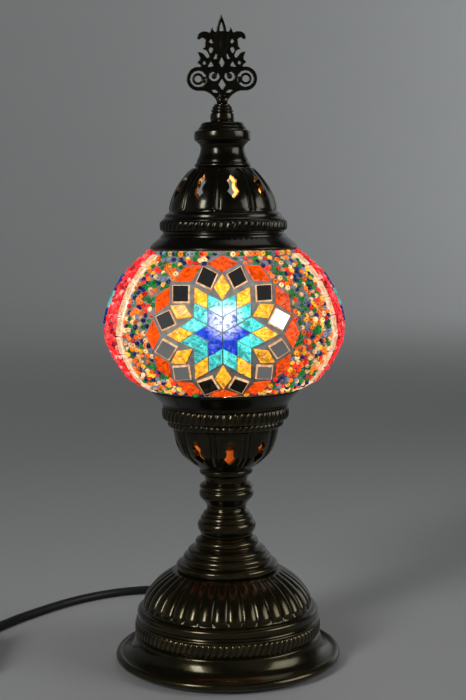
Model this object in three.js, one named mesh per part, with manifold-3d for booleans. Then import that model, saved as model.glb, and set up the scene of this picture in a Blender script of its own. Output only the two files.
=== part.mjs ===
// Mosaic glass table lamp: a cast bronze-finish stem and base, a mosaic-covered glass globe
// held between a lower cup and a lift-off cap, a screw-in lamp bulb, and a mains lead with
// an in-line rocker switch and a two-pin plug. Millimetres, +Z up, the origin under the
// middle of the base, the front of the lamp towards -Y.
import * as THREE from 'three';
import { mergeVertices } from 'three/addons/utils/BufferGeometryUtils.js';
import Module from 'manifold-3d';

const wasm = await Module();
wasm.setup();

// ---------------------------------------------------------------- driving dimensions
const GAP = 0.3; // clearance between neighbouring solids
const GAP_ANGLE = 0.15; // degrees, half the gap between two mosaic zones
const ROUND = 24; // facets round a large turned part
const GLOBE_ROUND = 28; // facets round the globe
const SMALL_ROUND = 12; // facets round a small turned part

const BASE_RIM_R = 60;
const FELT_R = 55.5;
const FELT_T = 1.5;
const BASE_PLATE_R = 51;
const BASE_PLATE_T = 3;
const BASE_TOP_Z = 49.2;
const COLLAR_TOP_Z = 67.6;
const LOWER_BEAD_TOP_Z = 82.9;
const UPPER_BEAD_TOP_Z = 96.6;
const CUP_FLOOR_Z = 106.6;
const CUP_RIM_R = 39.6;
const CUP_RIM_Z = 147;

const ROD_R = 5;
const ROD_BORE_R = 3.4;
const ROD_BOTTOM_Z = 35;
const ROD_TOP_Z = 121;
const ROD_HOLE_R = ROD_R + GAP;

const GLOBE_R = 62.5; // over the mosaic
const MOSAIC_T = 2.3;
const GLASS_T = 2;
const GLASS_LIP_R = 33;
const GLOBE_MID_Z = 178;
const STAR_Z = 181; // middle of each medallion
const STAR_CORE_R = 20.3;
const STAR_R = 36.4;
const STAR_AZIMUTH = -1; // degrees from the front, towards +X
const STRIP_LEFT_AZIMUTH = -59.5;
const STRIP_RIGHT_AZIMUTH = 63.5;
const STRIP_WIDTH = 3.4; // degrees
const SIDE_TILE_WIDTH = 7; // degrees
const SIDE_TILE_LOW_Z = 181;
const SIDE_TILE_HIGH_Z = 207;

const CAP_RIM_R = 38.8;
const CAP_RIM_Z = 220.3;
const CAP_TOP_Z = 261.2;
const NECK_TOP_Z = 284.6;
const SPINDLE_TOP_Z = 293.9;
const FINIAL_TOP_Z = 339.4;
const FINIAL_T = 3.2;
const WINDOWS = 9; // ogee windows round the cap, and round the cup
const CAP_WINDOW_AZIMUTH = 11.9;
const CUP_WINDOW_AZIMUTH = 4.9;

const HOLDER_Z = 114.3; // underside of the lampholder
const BULB_R = 22.5;
const BULB_MID_Z = 186;
const SCREW_CAP_R = 6.9;

const CORD_R = 2.5;
const CORD_SIDES = 8;
const CORD_EXIT_Z = 17;
const BUSH_END_Y = 76;
const LEAD_SPLIT_Y = 50; // inside the bush, where the lead in the lamp meets the lead outside it
const SWITCH_X = -143;
const SWITCH_BACK_Y = 18;
const SWITCH_LENGTH = 60;
const SWITCH_WIDTH = 24;
const SWITCH_HEIGHT = 17;
const SWITCH_SPLIT_Z = 8.4;
const ROCKER_R = 10.2; // its ends are arcs about its pivot
const ROCKER_WIDTH = 10;
const ROCKER_PIVOT_Z = 10.8;
const ROCKER_WINDOW = 19.2;
const ROCKER_HIGH = 47; // degrees from level to the corner of its raised end
const ROCKER_LOW = 33;
const CORD_SWITCH_Z = 7.2;
const COIL_X = -176;
const COIL_Y = -75;
const COIL_IN_R = 20.4;
const COIL_OUT_R = 35.6;
const COIL_HEIGHT = 15;
const TIE_WIDTH = 9;
const TIE_T = 0.8;
const PLUG_X = -209;
const PLUG_Y = -36;
const PLUG_Z = 7;
const PLUG_LENGTH = 36;
const PIN_LENGTH = 19;
const PIN_SPACING = 18;

// ---------------------------------------------------------------- finishes
const BRONZE = { color: 0x17140f, roughness: 0.32, metalness: 0.9 };
const STEEL = { color: 0x8d8f92, roughness: 0.35, metalness: 1 };
const BRASS = { color: 0xb08d4a, roughness: 0.3, metalness: 1 };
const GLASS = { color: 0xf4efe4, roughness: 0.1, metalness: 0 };
const BLUE_TILE = { color: 0x1c3fb4, roughness: 0.12, metalness: 0 };
const AMBER_TILE = { color: 0xe59a1c, roughness: 0.12, metalness: 0 };
const CREAM_TILE = { color: 0xe8d3a0, roughness: 0.15, metalness: 0 };
const MIXED_BEADS = { color: 0x3d8a55, roughness: 0.25, metalness: 0 };
const RED_BEADS = { color: 0xc4142a, roughness: 0.25, metalness: 0 };
const FELT = { color: 0x1b1d1b, roughness: 0.95, metalness: 0 };
const BLACK_PLASTIC = { color: 0x111111, roughness: 0.45, metalness: 0 };
const PORCELAIN = { color: 0xe9e6dd, roughness: 0.3, metalness: 0 };
const BULB_GLASS = { color: 0xffe9c0, roughness: 0.05, metalness: 0 };

// ---------------------------------------------------------------- geometry helpers
const radians = THREE.MathUtils.degToRad;

// A turned solid about +Z from a closed [radius, height] outline, listed counter-clockwise.
function turned(outline, sides = ROUND) {
  const points = outline.map(([r, z]) => new THREE.Vector2(r, z));
  const onAxis = outline[0][0] === 0 && outline[outline.length - 1][0] === 0;
  if (!onAxis) points.push(points[0].clone());
  return new THREE.LatheGeometry(points, sides).rotateX(Math.PI / 2);
}

// A manifold solid from a closed three.js geometry, turned right side out.
function solid(geometry) {
  const bare = geometry.clone();
  bare.deleteAttribute('normal');
  bare.deleteAttribute('uv');
  const merged = mergeVertices(bare, 1e-3);
  const corners = new Uint32Array(merged.index.array);
  const make = () => new wasm.Manifold(new wasm.Mesh({
    numProp: 3,
    vertProperties: merged.attributes.position.array,
    triVerts: corners,
  }));
  const made = make();
  if (made.volume() > 0) return made;
  for (let i = 0; i < corners.length; i += 3) {
    [corners[i + 1], corners[i + 2]] = [corners[i + 2], corners[i + 1]];
  }
  return make();
}

function geometryOf(manifold) {
  const mesh = manifold.getMesh();
  const geometry = new THREE.BufferGeometry();
  geometry.setAttribute('position', new THREE.BufferAttribute(mesh.vertProperties, 3));
  geometry.setIndex(new THREE.BufferAttribute(mesh.triVerts, 1));
  geometry.computeVertexNormals();
  return geometry;
}

// A tube of the given radius and side count along a smooth curve through the points.
function tube(points, radius, sides, steps) {
  const route = new THREE.CatmullRomCurve3(points.map((p) => new THREE.Vector3(...p)), false, 'centripetal');
  const section = new THREE.Shape();
  for (let i = 0; i < sides; i += 1) {
    const angle = (i / sides) * 2 * Math.PI;
    const x = radius * Math.cos(angle);
    const y = radius * Math.sin(angle);
    if (i === 0) section.moveTo(x, y);
    else section.lineTo(x, y);
  }
  section.closePath();
  return new THREE.ExtrudeGeometry(section, { steps, extrudePath: route, bevelEnabled: false });
}

// A flat strip bent along an outline in the XZ plane, its width along Y.
function bentStrip(centreLine, thickness, width) {
  const line = centreLine.map(([x, z]) => new THREE.Vector2(x, z));
  const left = [];
  const right = [];
  line.forEach((point, i) => {
    const before = line[Math.max(i - 1, 0)];
    const after = line[Math.min(i + 1, line.length - 1)];
    const along = after.clone().sub(before).normalize();
    const across = new THREE.Vector2(-along.y, along.x).multiplyScalar(thickness / 2);
    left.push(point.clone().add(across));
    right.push(point.clone().sub(across));
  });
  return upright(new THREE.Shape([...left, ...right.reverse()]), width);
}

// Extrudes a shape drawn in X and Z by a thickness centred on Y = 0.
function upright(shape, thickness, curveSegments = 6) {
  const options = { depth: thickness, bevelEnabled: false, curveSegments };
  return new THREE.ExtrudeGeometry(shape, options).translate(0, 0, -thickness / 2).rotateX(Math.PI / 2);
}

function plainCylinder(radius, bottom, top, sides = SMALL_ROUND) {
  return turned([[0, bottom], [radius, bottom], [radius, top], [0, top]], sides);
}

function ring(innerRadius, outerRadius, bottom, top, sides = SMALL_ROUND) {
  const section = [[innerRadius, bottom], [outerRadius, bottom], [outerRadius, top], [innerRadius, top]];
  return turned(section, sides);
}

// A hexagonal nut with a round bore.
function hexNut(acrossCorners, bottom, top, boreRadius) {
  const body = solid(new THREE.CylinderGeometry(acrossCorners / 2, acrossCorners / 2, top - bottom, 6)
    .rotateX(Math.PI / 2).translate(0, 0, (bottom + top) / 2));
  const bore = solid(plainCylinder(boreRadius, bottom - 1, top + 1));
  return geometryOf(body.subtract(bore));
}

function roundedBox(width, length, height, corner) {
  const x = width / 2 - corner;
  const y = length / 2 - corner;
  const shape = new THREE.Shape();
  shape.absarc(x, y, corner, 0, Math.PI / 2);
  shape.absarc(-x, y, corner, Math.PI / 2, Math.PI);
  shape.absarc(-x, -y, corner, Math.PI, 1.5 * Math.PI);
  shape.absarc(x, -y, corner, 1.5 * Math.PI, 2 * Math.PI);
  return new THREE.ExtrudeGeometry(shape, { depth: height, bevelEnabled: false, curveSegments: 4 });
}

// ---------------------------------------------------------------- the part's tree
const lamp = new THREE.Group();

function add(name, geometry, finish) {
  const mesh = new THREE.Mesh(geometry, new THREE.MeshStandardMaterial(finish));
  mesh.name = name;
  lamp.add(mesh);
  return mesh;
}

// ---------------------------------------------------------------- base and stem
function baseDome() {
  const outside = [
    [52, 1.8], [58.6, 1.8], [BASE_RIM_R, 4.2], [58.4, 6.6], [56.4, 5.7],
    [53.6, 8.5], [50.9, 12], [48.8, 15.3], [49.4, 17], [49.4, 20.6],
    [47.6, 24], [47.6, 29], [46.2, 30.2],
  ];
  for (const angle of [12, 30, 48]) {
    outside.push([45.6 * Math.cos(radians(angle)), 27 + 28.5 * Math.sin(radians(angle))]);
  }
  const inside = [
    [ROD_HOLE_R, BASE_TOP_Z - 2.6], [24, BASE_TOP_Z - 2.6], [34, 41.5], [41, 33], [44.2, 26],
    [46.2, 17], [52, 6],
  ];
  const shell = solid(turned([...outside, [26.5, BASE_TOP_Z], [ROD_HOLE_R, BASE_TOP_Z], ...inside]));
  const leadHole = solid(new THREE.CylinderGeometry(5.4, 5.4, 30, 16).translate(0, 55, CORD_EXIT_Z));
  return geometryOf(shell.subtract(leadHole));
}

function baseCollar() {
  return turned([
    [ROD_HOLE_R, BASE_TOP_Z + GAP], [27, BASE_TOP_Z + GAP], [27, 53.4], [23, 54.4],
    [23, 57.6], [20.8, 58.9], [20.7, 60.6], [16.9, 62.8], [16.7, 65],
    [14, COLLAR_TOP_Z], [ROD_HOLE_R, COLLAR_TOP_Z],
  ], 20);
}

function stemLowerBead() {
  return turned([
    [ROD_HOLE_R, COLLAR_TOP_Z + GAP], [13.8, COLLAR_TOP_Z + GAP], [15.2, 70.6], [15.6, 73.6], [15, 75.4],
    [13.8, 76.2], [13.4, 78.6], [12, 79.2], [11.7, 81], [10.6, 82.4], [10.4, LOWER_BEAD_TOP_Z],
    [ROD_HOLE_R, LOWER_BEAD_TOP_Z],
  ], 20);
}

function stemUpperBead() {
  return turned([
    [ROD_HOLE_R, LOWER_BEAD_TOP_Z + GAP], [10.5, LOWER_BEAD_TOP_Z + GAP], [12.4, 87.2], [14.3, 89.4],
    [14.5, 92.4], [13.6, 93.1], [14.2, 93.8], [13.6, 95.4], [11.6, UPPER_BEAD_TOP_Z],
    [ROD_HOLE_R, UPPER_BEAD_TOP_Z],
  ], 20);
}

function addBaseAndStem() {
  add('felt_pad', plainCylinder(FELT_R, 0, FELT_T, ROUND), FELT);
  add('base_plate', ring(8, BASE_PLATE_R, FELT_T + GAP, FELT_T + GAP + BASE_PLATE_T, ROUND), STEEL);
  add('base_dome', baseDome(), BRONZE);
  add('base_washer', ring(ROD_HOLE_R, 13, 44.8, BASE_TOP_Z - 2.6 - GAP), STEEL);
  add('base_nut', hexNut(19, 39.5, 44.5, ROD_HOLE_R), STEEL);
  add('threaded_rod', ring(ROD_BORE_R, ROD_R, ROD_BOTTOM_Z, ROD_TOP_Z, 16), STEEL);
  add('base_collar', baseCollar(), BRONZE);
  add('stem_lower_bead', stemLowerBead(), BRONZE);
  add('stem_upper_bead', stemUpperBead(), BRONZE);
}

// ---------------------------------------------------------------- ogee windows
// One window: two diamonds, the upper one smaller, that run into each other at a waist.
function ogeeWindow(bottom, top, width) {
  const at = (share) => bottom + (top - bottom) * share;
  const half = [
    [0, at(0)], [width / 2, at(0.3)], [width * 0.3, at(0.52)], [width * 0.42, at(0.74)], [0, at(1)],
  ];
  const mirrored = half.slice(1, -1).reverse().map(([x, z]) => [-x, z]);
  return new THREE.Shape([...half, ...mirrored].map(([x, z]) => new THREE.Vector2(x, z)));
}

function cutWindows(shell, shape, firstAzimuth, nearRadius, farRadius) {
  const depth = farRadius - nearRadius;
  let cut = shell;
  for (let i = 0; i < WINDOWS; i += 1) {
    const turn = radians(firstAzimuth + (360 / WINDOWS) * i);
    const prism = upright(shape, depth).translate(0, -(nearRadius + farRadius) / 2, 0).rotateZ(turn);
    cut = cut.subtract(solid(prism));
  }
  return cut;
}

// ---------------------------------------------------------------- lower cup
function lowerCup() {
  const outside = [
    [11.6, UPPER_BEAD_TOP_Z + GAP], [14, 101.4], [14.1, 103.8], [18, 107.2], [23.4, 112.7],
    [26.2, 118.7], [27.9, 126.2], [30.8, 127.4], [33.6, 131.6], [33.6, 137],
    [32.6, 138.2], [CUP_RIM_R, 146], [CUP_RIM_R, CUP_RIM_Z],
  ];
  const inside = [
    [38.2, CUP_RIM_Z], [31.2, 139.6], [31, 131.4], [26, 127.6], [23.4, 117],
    [14, CUP_FLOOR_Z], [ROD_HOLE_R, CUP_FLOOR_Z],
  ];
  const shell = solid(turned([[ROD_HOLE_R, UPPER_BEAD_TOP_Z + GAP], ...outside, ...inside]));
  const window = ogeeWindow(108.6, 121.4, 6);
  return geometryOf(cutWindows(shell, window, CUP_WINDOW_AZIMUTH, 14, 32));
}

function addCup() {
  add('lower_cup', lowerCup(), BRONZE);
  const right = [[19.2, 114.6], [22.6, 121.5], [24.2, 127.8], [28.6, 138], [30.9, 146], [30, 152]];
  const floor = [[-9, CUP_FLOOR_Z + 0.7], [9, CUP_FLOOR_Z + 0.7]];
  const left = right.map(([x, z]) => [-x, z]).reverse();
  const strap = solid(bentStrip([...left, ...floor, ...right], 0.8, 13));
  const strapHole = solid(plainCylinder(ROD_HOLE_R, 100, 115));
  add('cup_spring_strap', geometryOf(strap.subtract(strapHole)), STEEL);
  add('cup_washer', ring(ROD_HOLE_R, 8.4, 108.1, 109, 20), STEEL);
  add('cup_nut', hexNut(16.5, 109.3, 114, ROD_HOLE_R), STEEL);
}

// ---------------------------------------------------------------- lampholder and bulb
function addLampholder() {
  const z = HOLDER_Z;
  add('lampholder_cap', turned([
    [ROD_HOLE_R, z], [9, z], [13.2, z + 3], [13.2, z + 10], [11.8, z + 10], [11.8, z + 4],
    [ROD_HOLE_R, z + 2.4],
  ], SMALL_ROUND), BLACK_PLASTIC);
  add('terminal_screw_1', plainCylinder(1.8, z + 6.6, z + 9, 12).translate(-7, 0, 0), BRASS);
  add('terminal_screw_2', plainCylinder(1.8, z + 6.6, z + 9, 12).translate(7, 0, 0), BRASS);
  add('lampholder_insert', turned([
    [0, z + 9.3], [11.4, z + 9.3], [11.4, z + 15], [9.8, z + 17.7], [9.8, z + 18.7], [8.8, z + 18.7],
    [8.8, z + 17], [0, z + 17],
  ], SMALL_ROUND), PORCELAIN);
  add('lampholder_contact', roundedBox(4, 10, 1, 1).translate(0, 0, z + 17.3), BRASS);
  add('lampholder_shell', ring(7.6, 8.2, z + 17.3, z + 34), BRASS);
  add('lampholder_body', turned([
    [12.3, z + 10.3], [13.9, z + 10.3], [13.9, z + 33.6], [12.8, z + 36.7], [9, z + 36.7], [9, z + 35.2],
    [12.3, z + 33.2],
  ], SMALL_ROUND), BLACK_PLASTIC);
}

function addBulb() {
  const z = HOLDER_Z + 18.6;
  add('bulb_tip_contact', plainCylinder(2.4, z, z + 1.2, 16), BRASS);
  add('bulb_screw_cap', turned([
    [0, z + 1.5], [3.4, z + 1.5], [SCREW_CAP_R, z + 4], [SCREW_CAP_R, z + 20], [SCREW_CAP_R - 0.6, z + 20],
    [SCREW_CAP_R - 0.6, z + 4.3], [3.2, z + 2.2], [0, z + 2.2],
  ], SMALL_ROUND), STEEL);
  const outside = [[5.9, z + 17], [5.9, z + 21], [9, z + 26.5]];
  const inside = [[8.3, z + 27], [5.2, z + 21.2], [5.2, z + 17]];
  for (const angle of [-48, -20, 4, 30, 60]) {
    const across = Math.cos(radians(angle));
    const up = Math.sin(radians(angle));
    outside.push([BULB_R * across, BULB_MID_Z + BULB_R * up]);
    inside.unshift([(BULB_R - 0.8) * across, BULB_MID_Z + (BULB_R - 0.8) * up]);
  }
  outside.push([0, BULB_MID_Z + BULB_R], [0, BULB_MID_Z + BULB_R - 0.8]);
  add('bulb_glass', turned([...outside, ...inside], SMALL_ROUND), BULB_GLASS);
  add('bulb_mount', turned([
    [0, z + 8], [3.6, z + 8], [3, z + 20], [2, z + 26], [1.1, z + 52], [0, z + 52.6],
  ], 12), BULB_GLASS);
}

// ---------------------------------------------------------------- globe and mosaic
const GLOBE_OUTLINE = new THREE.SplineCurve([
  [40.6, 146.7], [47.9, 150.9], [53.6, 156.4], [58.6, 164.4], [61.8, 171.6], [GLOBE_R, GLOBE_MID_Z],
  [61.2, 186.6], [58, 195.6], [53.2, 204.8], [46.8, 212.6], [39.9, 218.2],
].map(([r, z]) => new THREE.Vector2(r, z)));
const GLOBE_STEPS = 7;

// The globe's outline moved inwards along its normal, from the bottom to the top.
function globeOutline(inwards) {
  const points = [];
  for (let i = 0; i <= GLOBE_STEPS; i += 1) {
    const point = GLOBE_OUTLINE.getPoint(i / GLOBE_STEPS);
    const along = GLOBE_OUTLINE.getTangent(i / GLOBE_STEPS);
    points.push([point.x - along.y * inwards, point.y + along.x * inwards]);
  }
  return points;
}

function globeGlass() {
  const outside = globeOutline(MOSAIC_T + GAP);
  const inside = globeOutline(MOSAIC_T + GAP + GLASS_T).reverse();
  const top = [[GLASS_LIP_R, 219], [GLASS_LIP_R, 217]];
  const bottom = [[GLASS_LIP_R, 148], [GLASS_LIP_R, 145.9]];
  return turned([...outside, ...top, ...inside, ...bottom], GLOBE_ROUND);
}

// A wedge of everything between two azimuths, in degrees from the front towards +X.
function wedge(from, to) {
  const far = 110;
  const corners = [new THREE.Vector2(0, 0)];
  for (const share of [0, 0.5, 1]) {
    const angle = radians(from + (to - from) * share);
    corners.push(new THREE.Vector2(far * Math.sin(angle), -far * Math.cos(angle)));
  }
  const options = { depth: 120, bevelEnabled: false };
  return solid(new THREE.ExtrudeGeometry(new THREE.Shape(corners), options).translate(0, 0, 120));
}

// A cylinder along the line that runs out through the middle of a medallion.
function starCylinder(radius, azimuth) {
  return solid(new THREE.CylinderGeometry(radius, radius, 80, 18)
    .translate(0, -60, 0).rotateZ(radians(azimuth)).translate(0, 0, STAR_Z));
}

function addGlobe() {
  add('globe_glass', globeGlass(), GLASS);
  const skin = solid(turned([...globeOutline(0), ...globeOutline(MOSAIC_T).reverse()], GLOBE_ROUND));
  const zone = (from, to) => skin.intersect(wedge(from + GAP_ANGLE, to - GAP_ANGLE));
  const halfStrip = STRIP_WIDTH / 2;
  const panels = [['front', 0], ['rear', 180]];
  for (const [side, turn] of panels) {
    const left = STRIP_LEFT_AZIMUTH + turn;
    const right = STRIP_RIGHT_AZIMUTH + turn;
    const star = STAR_AZIMUTH + turn;
    const field = zone(left + halfStrip, right - halfStrip);
    const core = field.intersect(starCylinder(STAR_CORE_R, star));
    const border = field.intersect(starCylinder(STAR_R, star))
      .subtract(starCylinder(STAR_CORE_R + GAP, star));
    add(`${side}_star_core`, geometryOf(core), BLUE_TILE);
    add(`${side}_star_border`, geometryOf(border), AMBER_TILE);
    add(`${side}_bead_field`, geometryOf(field.subtract(starCylinder(STAR_R + GAP, star))), MIXED_BEADS);
    add(`${side}_left_strip`, geometryOf(zone(left - halfStrip, left + halfStrip)), CREAM_TILE);
    add(`${side}_right_strip`, geometryOf(zone(right - halfStrip, right + halfStrip)), CREAM_TILE);
  }
  const sides = [
    ['left', STRIP_RIGHT_AZIMUTH - 180 + halfStrip, STRIP_LEFT_AZIMUTH - halfStrip],
    ['right', STRIP_RIGHT_AZIMUTH + halfStrip, STRIP_LEFT_AZIMUTH + 180 - halfStrip],
  ];
  for (const [side, from, to] of sides) {
    const middle = (from + to) / 2;
    const whole = zone(from, to);
    const column = zone(middle - SIDE_TILE_WIDTH / 2, middle + SIDE_TILE_WIDTH / 2)
      .intersect(slab(SIDE_TILE_LOW_Z, SIDE_TILE_HIGH_Z));
    const recess = wedge(middle - SIDE_TILE_WIDTH / 2, middle + SIDE_TILE_WIDTH / 2)
      .intersect(slab(SIDE_TILE_LOW_Z - GAP, SIDE_TILE_HIGH_Z + GAP));
    add(`${side}_side_tiles`, geometryOf(column), BLUE_TILE);
    add(`${side}_red_field`, geometryOf(whole.subtract(recess)), RED_BEADS);
  }
}

// Everything between two heights.
function slab(low, high) {
  return solid(new THREE.BoxGeometry(200, 200, high - low).translate(0, 0, (low + high) / 2));
}

// ---------------------------------------------------------------- cap and finial
function topCap() {
  const outside = [
    [34, 219.5], [37.9, 219.5], [CAP_RIM_R, CAP_RIM_Z], [35.4, 224], [31.8, 227.8],
    [33.4, 229.2], [33.4, 234], [30.4, 236.4], [30.2, 237.8], [28.3, 238.9],
    [27.2, 244.6], [24, 251.4], [19.4, 257.8], [15.8, CAP_TOP_Z],
  ];
  const inside = [
    [2.6, 259], [15, 259], [22.2, 250.2], [25.6, 242], [26.2, 238], [31, 231.6], [30.2, 226.6],
  ];
  const shell = solid(turned([...outside, [2.6, CAP_TOP_Z], ...inside]));
  return geometryOf(cutWindows(shell, ogeeWindow(244.2, 257, 6), CAP_WINDOW_AZIMUTH, 12, 34));
}

function capNeck() {
  return turned([
    [2.6, CAP_TOP_Z + GAP], [14.5, CAP_TOP_Z + GAP], [14.5, 263.6], [12.6, 266.6], [11.4, 271], [12.8, 274.2],
    [14.5, 275.6], [14.8, 277.8], [14.3, 280.2], [12.7, 281], [10.3, NECK_TOP_Z], [2.6, NECK_TOP_Z],
  ], 20);
}

function finialSpindle() {
  return turned([
    [2.6, NECK_TOP_Z + GAP], [6.1, NECK_TOP_Z + GAP], [6.3, 287.2], [6, 289.3], [5.4, 289.8], [5.8, 290.6],
    [5, 291.6], [5.2, 292.6], [4.2, SPINDLE_TOP_Z], [2.6, SPINDLE_TOP_Z],
  ], SMALL_ROUND);
}

// The openwork casting: one half is drawn and mirrored, then the rings and bars are joined in.
function finialCasting() {
  const foot = SPINDLE_TOP_Z + GAP;
  const loopX = 12.1;
  const loopZ = 306.9;
  const half = [
    [3.1, foot], [3.4, 296.4], [6.4, 299.8], [10.6, 301],
  ];
  for (const angle of [-72, -40, -8, 24, 56, 88]) {
    half.push([loopX + 6 * Math.cos(radians(angle)), loopZ + 6 * Math.sin(radians(angle))]);
  }
  half.push(
    [10.6, 313.2], [12.8, 315.2], [11.6, 317], [12.2, 320.2], [9.6, 318.8], [7.6, 316.8], [6.5, 318.5],
    [9.6, 322.2], [7.6, 322.9], [7.6, 324.9], [9.7, 327.5], [12.1, 327.4], [11.4, 329.8], [8.8, 330.7],
    [5.4, 330.4], [4.9, 332.7], [3.1, 331], [2.4, 332.4],
  );
  const mirrored = half.map(([x, z]) => [-x, z]).reverse();
  const outline = [...half, [0, FINIAL_TOP_Z], ...mirrored];
  const plate = new THREE.Shape(outline.map(([x, z]) => new THREE.Vector2(x, z)));
  const hole = (points) => plate.holes.push(new THREE.Path(points.map(([x, z]) => new THREE.Vector2(x, z))));
  hole([[0, 300.3], [-1.6, 303.2], [0, 306.1], [1.6, 303.2]]);
  hole([[0, 311.5], [-1.15, 314.2], [0, 317], [1.15, 314.2]]);
  hole([[-1, 330.6], [0, 335.4], [1, 330.6]]);
  for (const side of [-1, 1]) {
    hole([[side * 4.4, 325.6], [side * 5.4, 327.6], [side * 5.9, 325.8]]);
    hole([[side * 4.9, 319.9], [side * 4.8, 322.3], [side * 6.2, 321.9]]);
    hole([[side * 2.6, 316.1], [side * 2.9, 319.4], [side * 4.1, 316.2]]);
    hole([[side * 4.6, 312.8], [side * 5.7, 315.4], [side * 7, 312.8]]);
    hole([[side * 8.5, 314], [side * 8.8, 316], [side * 9.7, 314.6]]);
    const loop = new THREE.Path();
    loop.absarc(side * loopX, loopZ, 4.2, 0, 2 * Math.PI);
    plate.holes.push(loop);
    const scroll = new THREE.Path();
    scroll.absarc(side * 4, 307.9, 2.6, 0, 2 * Math.PI);
    plate.holes.push(scroll);
  }
  let casting = solid(upright(plate, FINIAL_T, 6));
  for (const side of [-1, 1]) {
    const inner = new THREE.Shape();
    inner.absarc(side * loopX, loopZ, 2.8, 0, 2 * Math.PI);
    const bore = new THREE.Path();
    bore.absarc(side * loopX, loopZ, 1.8, 0, 2 * Math.PI);
    inner.holes.push(bore);
    const bar = new THREE.BoxGeometry(2.6, FINIAL_T - 0.8, 0.9).translate(side * (loopX - 3.6), 0, loopZ);
    const ball = new THREE.SphereGeometry(1.5, 8, 5).translate(side * 4, 0, 307.9);
    const ballStalk = new THREE.BoxGeometry(0.9, 1.8, 2.4).translate(side * 4, 0, 309.6);
    casting = casting.add(solid(upright(inner, FINIAL_T - 0.8, 5))).add(solid(bar));
    casting = casting.add(solid(ball)).add(solid(ballStalk));
  }
  return casting;
}

function addCap() {
  add('top_cap', topCap(), BRONZE);
  add('cap_neck', capNeck(), BRONZE);
  add('finial_spindle', finialSpindle(), BRONZE);
  const studHole = solid(plainCylinder(2.3, 290, 297.3, 12));
  add('finial', geometryOf(finialCasting().subtract(studHole)), BRONZE);
  add('cap_stud', plainCylinder(2, 250.6, 297, 12), STEEL);
  add('cap_nut', hexNut(8, 253.4, 256.6, 2.3), STEEL);
  const right = [[13, 256.4], [17.6, 250], [21, 242], [24, 231], [27.4, 224], [31.2, 217], [29.4, 210]];
  const left = right.map(([x, z]) => [-x, z]).reverse();
  const strap = solid(bentStrip([...left, [-8, 257.9], [8, 257.9], ...right], 0.8, 9));
  const strapHole = solid(plainCylinder(2.4, 250, 262, 12));
  add('cap_spring_strap', geometryOf(strap.subtract(strapHole)), STEEL);
}

// ---------------------------------------------------------------- mains lead
// The route of the lead, from the bush at the back of the base to the switch.
const LEAD_ROUTE = [
  [0, LEAD_SPLIT_Y + GAP, CORD_EXIT_Z], [0, 60, CORD_EXIT_Z], [0, BUSH_END_Y, CORD_EXIT_Z],
  [0, 84, 16.2], [-2, 93, 13], [-7, 102.5, 8.8], [-15, 111.5, 5],
  [-25, 118.6, 2.9], [-37, 122.6, 2.5], [-51.2, 123.1, 2.5], [-65.7, 119.3, 2.5], [-77.9, 113.2, 2.5],
  [-89.8, 104.6, 2.5], [-100.8, 93.8, 2.5], [-111.6, 80.8, 2.5], [-121.9, 67, 2.5], [-131.2, 52, 2.5],
  [-137.6, 39.6, 3.4], [-141.6, 30, 5.6], [-142.9, 23, CORD_SWITCH_Z],
  [SWITCH_X, SWITCH_BACK_Y + GAP, CORD_SWITCH_Z],
];
const LINK_ROUTE = [
  [SWITCH_X, SWITCH_BACK_Y - SWITCH_LENGTH - GAP, CORD_SWITCH_Z], [SWITCH_X, -46, CORD_SWITCH_Z],
  [SWITCH_X, -56, 4.8],
];
const TAIL_ROUTE = [
  [PLUG_X, -56, 7.5], [PLUG_X, -46, 7.2], [PLUG_X, PLUG_Y - GAP, PLUG_Z],
];
const INNER_ROUTE = [
  [0, LEAD_SPLIT_Y, CORD_EXIT_Z], [0, 44, CORD_EXIT_Z], [0, 38, CORD_EXIT_Z],
  [0, 27, 17.4], [0, 15.5, 19.8], [0, 6.4, 25], [0, 1.2, 31.6],
  [0, 0, 39], [0, 0, 60], [0, 0, 90], [0, 0, 119.6],
];

// A rubber bush with a waist that grips the wall of the base, and a tapered tail round the lead.
function cordBush() {
  const bore = CORD_R + GAP + 0.05;
  return turned([
    [bore, 41.8], [6.4, 41.8], [6.4, 43.4], [4.8, 44.2], [4.8, 51], [5.8, 51.8], [5.8, 53.4], [4.8, 54.6],
    [3.6, BUSH_END_Y], [bore, BUSH_END_Y],
  ], 16).rotateX(-Math.PI / 2).translate(0, 0, CORD_EXIT_Z);
}

function hollowed(outer, inner) {
  return solid(outer).subtract(solid(inner));
}

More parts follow.
